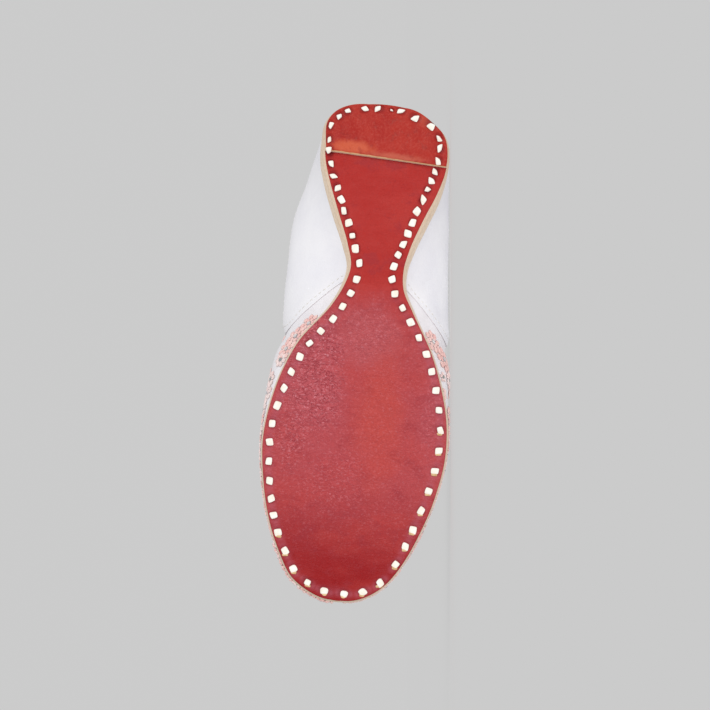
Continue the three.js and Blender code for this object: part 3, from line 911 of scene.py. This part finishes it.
midsole = sole_layer("midsole_leather", 260, WHOLE, midsole_bottom, midsole_top, 0.5, 1.0, 24, 6)
complete(midsole, ["midsole"], [midsole_edge])

insole = sole_layer("insole_sock", 200, WHOLE, seat_height, lambda x: seat_height(x) + INSOLE_THICKNESS,
                    1, 1, 24, 3, inset=UPPER_INSET + UPPER_WALL + GAP)
complete(insole, ["insole"], [insole_leather])


# The upper, as one sheet that goes round the foot and over it, then gets its wall
def ring_sheet(name, stations, ups, front=None):
    """A sheet of the upper's surface, round the heel and, where it has no front edge, round the toe."""
    sides = {}
    for side in (OUTER, INNER):
        rows = [strip_points(side, stations * (front(side, up) if front else 1), np.array([up]))
                for up in ups]
        sides[side] = np.concatenate(rows, axis=1)
    between_sides = np.linspace(0, 1, 9)[1:-1]
    heel = [sides[INNER][0] * (1 - t) + sides[OUTER][0] * t for t in between_sides]
    if front is None:
        toe = [sides[OUTER][-1] * (1 - t) + sides[INNER][-1] * t for t in between_sides]
        ring = [*sides[OUTER], *toe, *sides[INNER][::-1], *heel, sides[OUTER][0]]
    else:
        ring = [*sides[INNER][::-1], *heel, *sides[OUTER]]
    piece = shaped_grid(name, np.stack(ring))
    merge_and_close(piece, fill=False)
    faces = piece.data.polygons
    if sum(face.normal.dot(face.center - Vector((face.center.x, 0, 20))) * face.area for face in faces) < 0:
        pick(piece)
        bpy.ops.object.mode_set(mode="EDIT")
        bpy.ops.mesh.select_all(action="SELECT")
        bpy.ops.mesh.flip_normals()
        bpy.ops.object.mode_set(mode="OBJECT")
    return piece


def with_wall(piece, wall, offset, softened, skive=None):
    """Gives a sheet its thickness, with the inside and the rim as further finishes, and softens the rim."""
    solid = piece.modifiers.new("wall", "SOLIDIFY")
    solid.thickness = wall
    solid.offset = offset
    solid.use_even_offset = False
    solid.material_offset = 1
    solid.material_offset_rim = 2
    if skive is not None:
        thinned = piece.vertex_groups.new(name="skive")
        for number, share in enumerate(skive):
            thinned.add([number], float(share), "REPLACE")
        solid.vertex_group = "skive"
        solid.thickness_vertex_group = 0.35
    soft = piece.modifiers.new("rim", "BEVEL")
    soft.width = softened
    soft.segments = 2
    soft.limit_method = "ANGLE"
    soft.angle_limit = math.radians(55)
    apply_modifiers(piece)


def push(piece, troughs):
    """Presses soft troughs into a sheet: from, to, width and depth in millimetres, negative to raise."""
    points = get_points(piece)
    normals = get_normals(piece)
    moved = points.copy()
    for start, end, width, depth in troughs:
        start = np.array(start, float)
        line = np.array(end, float) - start
        share = np.clip((points - start) @ line / (line @ line), 0, 1)
        away = np.linalg.norm(points - start - share[:, None] * line, axis=1)
        fade = np.sin(math.pi * np.clip(share, 0.02, 0.98)) ** 0.5
        moved -= normals * (depth * fade * np.exp(-((away / width) ** 2)))[:, None]
    moved[:, 2] = np.maximum(moved[:, 2], seat_height(moved[:, 0]))
    set_points(piece, moved)


def soften_ends(piece):
    """Rounds the flat strips in the middle of the heel and of the toe."""
    pick(piece)
    bpy.ops.object.mode_set(mode="EDIT")
    bpy.ops.mesh.select_all(action="DESELECT")
    bpy.ops.object.mode_set(mode="OBJECT")
    for vertex in piece.data.vertices:
        place = vertex.co
        at_heel = place.x < 12 and abs(place.y - 5) < 16
        at_toe = place.x > 236 and abs(place.y - 2) < 14
        vertex.select = (at_heel or at_toe) and place.z > float(seat_height(place.x)) + 1.5
    bpy.ops.object.mode_set(mode="EDIT")
    bpy.ops.mesh.vertices_smooth(factor=0.5, repeat=14, zaxis=False)
    bpy.ops.object.mode_set(mode="OBJECT")


def surface_of(piece):
    return BVHTree.FromObject(piece, bpy.context.evaluated_depsgraph_get())


# Soft creases of the upper: from, to, width and depth
TROUGHS = [
    ((40, 36, 14), (62, 40, 40), 7.0, 0.45),
    ((66, 34, 16), (84, 43, 38), 6.0, 0.40),
    ((96, 40, 22), (80, 30, 14), 5.0, 0.35),
    ((44, -28, 14), (66, -33, 40), 7.0, 0.40),
    ((72, -28, 16), (90, -38, 36), 6.0, 0.40),
    ((118, 44, 24), (128, 32, 40), 6.0, 0.35),
    ((122, -41, 24), (130, -30, 40), 6.0, 0.35),
    ((158, 30, 38), (164, -6, 45), 8.0, 0.30),
    ((176, 24, 36), (180, -20, 38), 9.0, 0.30),
    ((12, 20, 18), (14, 16, 44), 6.0, 0.30),
]

to_throat = np.linspace(0, throat_station, 91)
to_toe = np.linspace(throat_station, 1, 56)[1:]
vamp = ring_sheet("vamp_upper", np.concatenate([to_throat, to_toe]), np.linspace(0, 1, 41))
soften_ends(vamp)
push(vamp, TROUGHS)
vamp_surface = surface_of(vamp)
wear(vamp, vamp_cloth, lining_cloth, vamp_cloth)
with_wall(vamp, UPPER_WALL, -1, 0.35)
complete(vamp, ["upper"], angle=50)

# The quarter, cut along its front edge
front_curve = smooth_curve([row[1] * BALL_WIDTH for row in QUARTER_FRONT],
                           [row[0] * SOLE_LENGTH for row in QUARTER_FRONT])


def front_station(side, up):
    """The station at which the quarter's front edge crosses a height of the upper."""
    tries = np.linspace(0.2, throat_station, 600)
    along = strip_points(side, tries, np.array([up]))[:, 0]
    ahead = along[:, 0] - front_curve(np.abs(along[:, 1]))
    first = int(np.argmax(ahead > 0))
    share = -ahead[first - 1] / (ahead[first] - ahead[first - 1])
    return tries[first - 1] + share * (tries[first] - tries[first - 1])


quarter = ring_sheet("quarter_overlay", np.linspace(0, 1, 101), np.linspace(0, 1, 37), front_station)
soften_ends(quarter)
push(quarter, TROUGHS)
points = get_points(quarter) + GAP * 0.5 * get_normals(quarter)
points[:, 2] = np.maximum(points[:, 2], seat_height(points[:, 0]))
set_points(quarter, points)
wear(quarter, quarter_leather, quarter_leather, raw_edge)
behind = front_curve(np.abs(points[:, 1])) - points[:, 0]
with_wall(quarter, QUARTER_WALL, 1, 0.2, smoothstep(behind, 0, 6))
for face in quarter.data.polygons:
    if face.material_index == 2 and face.normal.x < 0.3:
        face.material_index = 0
quarter_surface = surface_of(quarter)
complete(quarter, ["quarter"], angle=50)


def on_strip(side, station, up):
    """A place on the upper's outer surface, by its station and its share of the way up."""
    return Vector(strip_points(side, np.array([float(station)]), np.array([up]))[0, 0])


def on_surface(place, tree):
    """The nearest place on the vamp or on the quarter, and the outward direction there."""
    inside = Vector((place.x, place.y * 0.4, 16))
    outward = (place - inside).normalized()
    hit, normal, _, _ = tree.ray_cast(place + outward * 8, -outward, 12)
    if hit is None:
        hit, normal, _, _ = tree.find_nearest(place)
    return hit, -normal if normal.dot(outward) < 0 else normal


# The thong: one pillow of rawhide, copied to each stitch
def make_pillow():
    bpy.ops.mesh.primitive_cube_add(size=1)
    piece = name_piece(bpy.context.active_object, "thong_pillow")
    bpy.ops.object.mode_set(mode="EDIT")
    bpy.ops.mesh.select_all(action="SELECT")
    bpy.ops.mesh.subdivide(number_cuts=3)
    bpy.ops.object.mode_set(mode="OBJECT")
    points = get_points(piece)
    square = np.abs(points[:, :2]).max(axis=1) * 2
    crown = 1 - 0.55 * np.clip(square, 0, 1) ** 3
    points[:, 2] *= crown
    points[:, :2] *= (1 - 0.10 * (np.abs(points[:, :1] * points[:, 1:2]) * 4))
    set_points(piece, points)
    smoother = piece.modifiers.new("smoother", "SUBSURF")
    smoother.levels = 1
    smoother.render_levels = 1
    apply_modifiers(piece)
    return piece


PILLOW_GROWTH = 1.16
PILLOW_THICKNESS = 1.7
PILLOW_HEIGHT = 0.52

chance = random.Random(7)
pillow = make_pillow()
wear(pillow, thong_rawhide, thong_underside_shade)
runs = {}
for side, place, outward, station, size in stitches:
    share = float(share_of(station))
    heel = share < 0.11
    slim = chance.uniform(0.80, 1.0) if share < 0.24 else 1.0
    long = size * (chance.uniform(2.9, 3.6) if heel else chance.uniform(2.9, 3.5))
    wide = size * slim * (chance.uniform(2.3, 2.9) if heel else chance.uniform(2.7, 3.3))
    along = math.atan2(outward[0] * side, -outward[1] * side) + chance.uniform(-0.25, 0.25)
    stitch = copy_of(pillow, "thong_stitch")
    points = get_points(stitch)
    loose = 0.16 if share < 0.30 else 0.08
    corners = {(x, y): (chance.uniform(-loose, loose), chance.uniform(-loose, loose))
               for x in (0, 1) for y in (0, 1)}
    if share < 0.20:
        x, y = chance.choice(list(corners))
        corners[(x, y)] = (0.28 - 0.56 * x, 0.26 - 0.52 * y)
    u, v = np.clip(points[:, 0] + 0.5, 0, 1), np.clip(points[:, 1] + 0.5, 0, 1)
    for (x, y), (push_x, push_y) in corners.items():
        weight = (u if x else 1 - u) * (v if y else 1 - v)
        points[:, 0] += push_x * weight
        points[:, 1] += push_y * weight
    points *= (long * PILLOW_GROWTH, wide * PILLOW_GROWTH, PILLOW_THICKNESS)
    points[:, 0] += chance.uniform(-0.10, 0.10) * points[:, 1]
    points[:, 2] *= 1 + 0.10 * np.sin(points[:, 0] * 2.2 + chance.uniform(0, 6))
    set_points(stitch, points)
    along_sole = share * SOLE_LENGTH
    height = 0.0 if along_sole < HEEL_LIFT_LENGTH else float(tread_height(along_sole))
    stitch.data.transform(Matrix.Translation((*place, height + PILLOW_HEIGHT)) @ turned_by(along))
    run = "heel" if heel else ("waist" if share < 0.36 else "forepart")
    runs.setdefault((run, side), []).append(stitch)
    # A tan pad on the toe side of each forepart stitch: the thong's underside, with painted shade on that
    # side of the stitch
    if share > (0.60 if side == INNER else 0.86):
        twist = copy_of(pillow, "thong_underside_shade")
        points = get_points(twist)
        points *= (chance.uniform(1.2, 1.9), wide * chance.uniform(0.85, 1.1), 1.1)
        set_points(twist, points)
        ahead = (place[0] + long * 0.58, place[1] - 0.25 * side, height + 0.55)
        twist.data.transform(Matrix.Translation(ahead) @ turned_by(chance.uniform(-0.2, 0.2)))
        for face in twist.data.polygons:
            face.material_index = 1
        runs[(run, side)].append(twist)
bpy.data.objects.remove(pillow)
for (run, side), group in runs.items():
    complete(join(group, f"thong_{run}_{WORDS[side]}"))


# Sewing thread: one stitch, copied along the seams
def make_strand(name, radius, flat, turns=6, rings=6):
    """A short strand along x, a millimetre long for each unit, with drawn-in ends."""
    along = np.linspace(0, 1, rings + 1)
    swell = np.sin(along * math.pi) ** 0.45
    angles = np.linspace(0, 2 * math.pi, turns + 1)[:, None]
    grid = np.stack([along - 0.5 + 0 * angles, np.cos(angles) * radius * swell,
                     np.sin(angles) * radius * flat * swell], axis=-1)
    piece = shaped_grid(name, grid)
    merge_and_close(piece, fill=False)
    return piece


SEAM_PITCH = 2.9
SEAM_STITCH = 2.2


def seam(name, places, tree, proud):
    """A row of thread stitches along a line of places on the upper."""
    line = [on_surface(place, tree) for place in places]
    thread = make_strand("stitch_of_thread", 0.24, 0.8)
    row = []
    since = SEAM_PITCH / 2
    for (here, normal), (there, _) in zip(line, line[1:]):
        since += (there - here).length
        if since < SEAM_PITCH:
            continue
        since = 0.0
        forward = (there - here).normalized()
        sideways = normal.cross(forward).normalized()
        stitch = copy_of(thread, name)
        points = get_points(stitch)
        points[:, 2] -= (points[:, 0] * 2) ** 4 * 0.25
        points[:, 0] *= SEAM_STITCH
        set_points(stitch, points)
        basis = Matrix((forward, sideways, forward.cross(sideways))).transposed().to_4x4()
        stitch.data.transform(Matrix.Translation(here + normal * proud) @ basis)
        row.append(stitch)
    bpy.data.objects.remove(thread)
    complete(join(row, name), finishes=[white_thread])


for side, word in WORDS.items():
    ups = np.linspace(0.03, 0.94, 400)[::20]
    places = np.array([on_strip(side, front_station(side, up) - 0.0105, up) for up in ups])
    knots = np.linspace(0, 1, len(places))
    tracks = [smooth_curve(knots, places[:, axis])(np.linspace(0, 1, 500)) for axis in range(3)]
    seam(f"front_seam_{word}", [Vector(place) for place in zip(*tracks)], quarter_surface, 0.08)

for side, word in WORDS.items():
    places = []
    for up in np.linspace(0.04, 0.93, 300):
        outer_end = on_strip(OUTER, 0.0, up)
        inner_end = on_strip(INNER, 0.0, up)
        part = (BACK_SEAM_AT + 2.0 * side - inner_end.y) / (outer_end.y - inner_end.y)
        places.append(outer_end * part + inner_end * (1 - part))
    seam(f"back_seam_{word}", places, quarter_surface, 0.04)



def collar(side, up, start, end, count):
    return [on_strip(side, station, up) for station in np.linspace(start, end, count)]


outer_front, inner_front = (front_station(side, 0.95) for side in (OUTER, INNER))
places = collar(INNER, 0.945, inner_front - 0.012, 0.0, 700)
places += collar(OUTER, 0.945, 0.0, outer_front - 0.012, 700)
seam("collar_seam_back", places, quarter_surface, -0.02)
at_throat = throat_station - 0.004
places = collar(OUTER, 0.955, outer_front + 0.006, at_throat, 400)
places += collar(INNER, 0.955, at_throat, inner_front + 0.006, 400)
seam("collar_seam_front", places, vamp_surface, 0.0)


# The embroidery: flowers and leaves of laid floss, modelled flat once and laid on the vamp
def make_motif(name, petals):
    """Petals of floss strands: where each petal points, starts and ends, its strands and their spread."""
    strand = make_strand("floss_strand", 0.34, 0.9, 5, 5)
    laid = []
    for angle, start, end, strands, spread in petals:
        for k in range(strands):
            off = k - (strands - 1) / 2
            near = turned_by(angle) @ Vector((start, off * 0.20, 0))
            far = turned_by(angle + off * spread) @ Vector((end - 0.096 * abs(off) * (end - start), 0, 0))
            along = far - near
            piece = copy_of(strand, "strand")
            points = get_points(piece)
            points[:, 2] += 0.45 * (1 - (points[:, 0] * 2) ** 2) + 0.22 * (1 - abs(off) / max(strands, 2))
            points[:, 0] *= along.length
            set_points(piece, points)
            heading = turned_by(math.atan2(along.y, along.x))
            piece.data.transform(Matrix.Translation((near + far) / 2) @ heading)
            laid.append(piece)
    bpy.data.objects.remove(strand)
    return join(laid, name)


def make_knots(name, ring, count, size):
    """A ring of small knots about a middle one."""
    bpy.ops.mesh.primitive_uv_sphere_add(segments=8, ring_count=5, radius=size)
    middle = bpy.context.active_object
    knots = []
    for k in range(count):
        angle = 2 * math.pi * k / count
        knot = copy_of(middle, name)
        knot.data.transform(Matrix.Translation((ring * math.cos(angle), ring * math.sin(angle), 0)))
        knots.append(knot)
    piece = join([*knots, middle], name)
    piece.data.transform(Matrix.Translation((0, 0, 0.35)))
    return piece


def petal_ring(count, start, end, strands, spread, turned=0.0):
    return [(turned + 2 * math.pi * k / count, start, end, strands, spread) for k in range(count)]


LEAF_PETALS = [(0.0, 0.0, 5.6, 5, 0.10), (0.66, 0.4, 4.6, 4, 0.10), (-0.66, 0.4, 4.6, 4, 0.10)]
MOTIFS = {
    "rose": make_motif("rose", petal_ring(8, 3.2, 7.4, 7, 0.092) + petal_ring(6, 1.2, 4.4, 5, 0.165, 0.4)),
    "daisy": make_motif("daisy", petal_ring(7, 1.1, 4.8, 5, 0.145)),
    "bud": make_motif("bud", petal_ring(5, 0.5, 2.9, 3, 0.26)),
    "leaf": make_motif("leaf", LEAF_PETALS),
    "knots": make_knots("knots", 0.85, 6, 0.45),
}


def laid_on(motif, place, turned, size, lift=0.0, pile=1.0):
    """A copy of a motif wrapped onto the upper about a place."""
    hit, normal = on_surface(place, vamp_surface)
    forward = Vector((1, 0, 0))
    forward = (forward - normal * forward.dot(normal)).normalized()
    sideways = normal.cross(forward)
    cos, sin = math.cos(turned), math.sin(turned)
    copy = copy_of(MOTIFS[motif], motif)
    moved = []
    for x, y, z in get_points(copy) * size:
        flat = hit + forward * (x * cos - y * sin) + sideways * (x * sin + y * cos)
        there, up, _, _ = vamp_surface.ray_cast(flat + normal * 9, -normal, 18)
        if there is None:
            there, up, _, _ = vamp_surface.find_nearest(flat)
        if up.dot(normal) < 0:
            up = -up
        moved.append(there + up * (z * pile + lift))
    set_points(copy, moved)
    return copy


# Where the flowers lie: side, share of the length at the foot, share of the way up, motif, turn, size
GARLAND = [
    (OUTER, 0.458, 0.10, "rose", 0.3, 0.86),
    (OUTER, 0.487, 0.12, "rose", 1.2, 0.92),
    (OUTER, 0.514, 0.11, "rose", 0.5, 0.80),
    (OUTER, 0.536, 0.10, "daisy", 0.5, 0.95),
    (OUTER, 0.572, 0.50, "rose", 2.1, 0.95),
    (OUTER, 0.578, 0.16, "daisy", 1.9, 1.00),
    (OUTER, 0.606, 0.16, "rose", 0.4, 0.84),
    (OUTER, 0.640, 0.15, "daisy", 1.2, 1.00),
    (OUTER, 0.612, 0.46, "rose", 0.9, 0.98),
    (OUTER, 0.648, 0.42, "rose", 1.7, 1.02),
    (OUTER, 0.700, 0.42, "rose", 0.2, 0.98),
    (OUTER, 0.755, 0.42, "daisy", 1.1, 1.25),
    (OUTER, 0.810, 0.42, "rose", 2.6, 0.92),
    (OUTER, 0.872, 0.42, "daisy", 0.4, 1.20),
    (OUTER, 0.940, 0.38, "rose", 1.9, 0.86),
    (INNER, 0.468, 0.17, "rose", 0.8, 0.92),
    (INNER, 0.503, 0.26, "rose", 2.2, 1.00),
    (INNER, 0.545, 0.26, "daisy", 1.4, 1.10),
    (INNER, 0.560, 0.46, "rose", 0.1, 0.95),
    (INNER, 0.606, 0.44, "rose", 1.1, 0.98),
    (INNER, 0.656, 0.42, "rose", 2.7, 1.02),
    (INNER, 0.708, 0.42, "rose", 0.6, 0.98),
    (INNER, 0.763, 0.42, "daisy", 1.8, 1.25),
    (INNER, 0.818, 0.42, "rose", 0.9, 0.92),
    (INNER, 0.880, 0.42, "daisy", 2.3, 1.20),
    (INNER, 0.948, 0.38, "rose", 0.3, 0.86),
    (OUTER, 0.990, 0.22, "rose", 0.7, 0.86),
    (INNER, 0.998, 0.45, "daisy", 1.3, 1.00),
    (OUTER, 0.700, 0.86, "rose", 0.4, 1.10),
    (INNER, 0.760, 0.90, "rose", 1.3, 1.06),
    (OUTER, 0.830, 0.88, "rose", 2.0, 1.02),
    (INNER, 0.900, 0.90, "daisy", 0.2, 1.20),
]

scatter = random.Random(23)


def any_turn():
    return scatter.uniform(0, 6.28)


def shade_of(share, first, second):
    return first if scatter.random() < share else second


flowers = []
taken = []
for side, share, up, motif, turned, size in GARLAND:
    place = on_strip(side, station_of(share), up)
    flowers.append((place, motif, turned, size, up))
    taken.append((place, 7.4 * size if motif == "rose" else 4.8 * size))
for motif, radius, wanted in (("daisy", 4.8, 34), ("leaf", 4.2, 50), ("bud", 2.8, 150)):
    found = 0
    for _ in range(4000):
        if found == wanted:
            break
        side = scatter.choice((OUTER, INNER))
        share = scatter.uniform(0.45, 1.0)
        up = scatter.uniform(0.08, 0.97)
        place = on_strip(side, station_of(share), up)
        under_quarter = place.x < 106 + 0.16 * abs(place.y) + 10 * up
        too_low = place.z < float(seat_height(place.x)) + 0.8 * radius
        in_throat = share < THROAT and up > 0.88
        on_plain_bulge = side == OUTER and share < 0.56 and up < 0.62
        if under_quarter or too_low or in_throat or on_plain_bulge:
            continue
        if all((place - other).length > 0.78 * radius + 0.94 * reach for other, reach in taken):
            taken.append((place, radius))
            flowers.append((place, motif, any_turn(), scatter.uniform(0.92, 1.10), up))
            found += 1
threads = {shade: [] for shade in FLOSS}
beads = []
sequins = []
for place, motif, turned, size, up in flowers:
    rosy = up < 0.52
    if motif == "rose":
        shade = shade_of(0.7, "pink", "pale")
    elif motif == "daisy":
        shade = shade_of(0.5, "pale", "pink")
        beads.append((place, 0.78))
    elif motif == "leaf":
        shade = "pink" if rosy else shade_of(0.6, "lilac", "silver")
    else:
        shade = shade_of(0 if rosy else 0.35, "lilac", "pale")
        if scatter.random() < 0.4:
            sequins.append((place, any_turn()))
        else:
            beads.append((place, 0.66))
    threads[shade].append(laid_on(motif, place, turned, size))
    if motif == "rose":
        threads["silver"].append(laid_on("knots", place, turned, size, 0.3))
for side in WORDS:
    for station in np.linspace(0.60, 0.995, 30):
        near_station = station + scatter.uniform(-0.003, 0.003)
        place = on_strip(side, near_station, scatter.uniform(0.10, 0.15))
        pile = 1.9 if side == OUTER and station > 0.80 else 1.1
        tuft = laid_on("bud", place, any_turn(), scatter.uniform(0.85, 1.1), 0.0, pile)
        threads[shade_of(0.6, "pink", "pale")].append(tuft)
for shade, group in threads.items():
    complete(join(group, f"embroidery_{shade}"), finishes=[FLOSS[shade]])
for motif in MOTIFS.values():
    bpy.data.objects.remove(motif)


# Beads and sequins
def make_sequin_body():
    bpy.ops.mesh.primitive_cylinder_add(vertices=14, radius=1.7, depth=0.16, end_fill_type="NGON")
    piece = bpy.context.active_object
    bpy.ops.object.mode_set(mode="EDIT")
    bpy.ops.mesh.select_all(action="DESELECT")
    bpy.ops.mesh.select_mode(type="FACE")
    bpy.ops.object.mode_set(mode="OBJECT")
    for face in piece.data.polygons:
        face.select = abs(face.normal.z) > 0.9
    bpy.ops.object.mode_set(mode="EDIT")
    bpy.ops.mesh.inset(thickness=0.7, depth=-0.05)
    bpy.ops.mesh.inset(thickness=0.62, depth=0.02)
    bpy.ops.mesh.bridge_edge_loops()
    bpy.ops.mesh.select_mode(type="VERT")
    bpy.ops.object.mode_set(mode="OBJECT")
    return piece


def lay_flat(name, finish, body, places, lift):
    """Lays copies of a body on the vamp, each with its place, turn and size, and joins them."""
    copies = []
    for place, turned, size in places:
        hit, normal = on_surface(place, vamp_surface)
        upright = normal.to_track_quat("Z", "X").to_matrix().to_4x4()
        copy = copy_of(body, name)
        copy.data.transform(Matrix.Translation(hit + normal * lift) @ upright @ turned_by(turned)
                            @ Matrix.Scale(size, 4))
        copies.append(copy)
    bpy.data.objects.remove(body)
    complete(join(copies, name), finishes=[finish], angle=40)


bpy.ops.mesh.primitive_torus_add(major_segments=10, minor_segments=6, major_radius=0.62, minor_radius=0.42)
bead_places = [(place, 0.0, size) for place, size in beads]
lay_flat("vamp_beads", grey_bead, bpy.context.active_object, bead_places, 0.62)
sequin_places = [(place, turned, 1.0) for place, turned in sequins]
lay_flat("vamp_sequins", sequin_pearl, make_sequin_body(), sequin_places, 0.8)

# The floor, lit like a light table
FLOOR_GREY = 0.22
FLOOR_GLOW = 0.436
bpy.ops.mesh.primitive_plane_add(size=24, location=(0, 6, 0))
floor = name_piece(bpy.context.active_object, "floor")
floor_paint = bpy.data.materials.new("floor_paint")
floor_paint.use_nodes = True
shader = floor_paint.node_tree.nodes["Principled BSDF"]
for key, value in (("Base Color", (*[FLOOR_GREY] * 3, 1)), ("Emission Color", (1, 1, 1, 1)),
                   ("Emission Strength", FLOOR_GLOW), ("Roughness", 1.0), ("Specular IOR Level", 0.0)):
    shader.inputs[key].default_value = value
floor.data.materials.append(floor_paint)
floor.visible_shadow = False
floor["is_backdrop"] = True

world = bpy.data.worlds.new("studio")
world.use_nodes = True
background = world.node_tree.nodes["Background"]
background.inputs["Color"].default_value = (0.60, 0.60, 0.60, 1)
background.inputs["Strength"].default_value = 1.0
bpy.context.scene.world = world

# Wide soft lights, the same all over the floor: direction they come from, power, spread in degrees
LIGHTS = {
    "key_softbox": ((0.30, -0.88, 0.36), 1.15, 40),
    "light_table": ((-0.05, -0.80, -0.60), 0.84, 50),
}
for name, (towards, power, spread) in LIGHTS.items():
    lamp = bpy.data.lights.new(name, "SUN")
    lamp.energy = power
    lamp.angle = math.radians(spread)
    holder = bpy.data.objects.new(name, lamp)
    bpy.context.scene.collection.objects.link(holder)
    holder.rotation_euler = Vector(towards).to_track_quat("Z", "Y").to_euler()

# The camera, rolled a quarter turn because the shoe lies on its side
CAMERA_DISTANCE = 1.8
CAMERA_HEIGHT = 0.024
TOE_LEAN = math.radians(5.0)
FRAME_WIDTH = 0.355
SENSOR_WIDTH = 36
lens = bpy.data.cameras.new("camera")
lens.sensor_width = SENSOR_WIDTH
lens.lens = SENSOR_WIDTH * CAMERA_DISTANCE / FRAME_WIDTH
lens.clip_end = 60
camera = bpy.data.objects.new("camera", lens)
bpy.context.scene.collection.objects.link(camera)
low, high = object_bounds()
middle = (low + high) / 2
stand = Vector((middle.x - CAMERA_DISTANCE * math.sin(TOE_LEAN),
                middle.y - CAMERA_DISTANCE * math.cos(TOE_LEAN), CAMERA_HEIGHT))
aim = (middle - stand).normalized()
right = aim.cross(Vector((1, 0, 0))).normalized()
facing = Matrix((right, right.cross(aim), -aim)).transposed()
camera.matrix_world = Matrix.Translation(stand) @ facing.to_4x4()
bpy.context.scene.camera = camera
bpy.context.scene.view_settings.view_transform = "Standard"
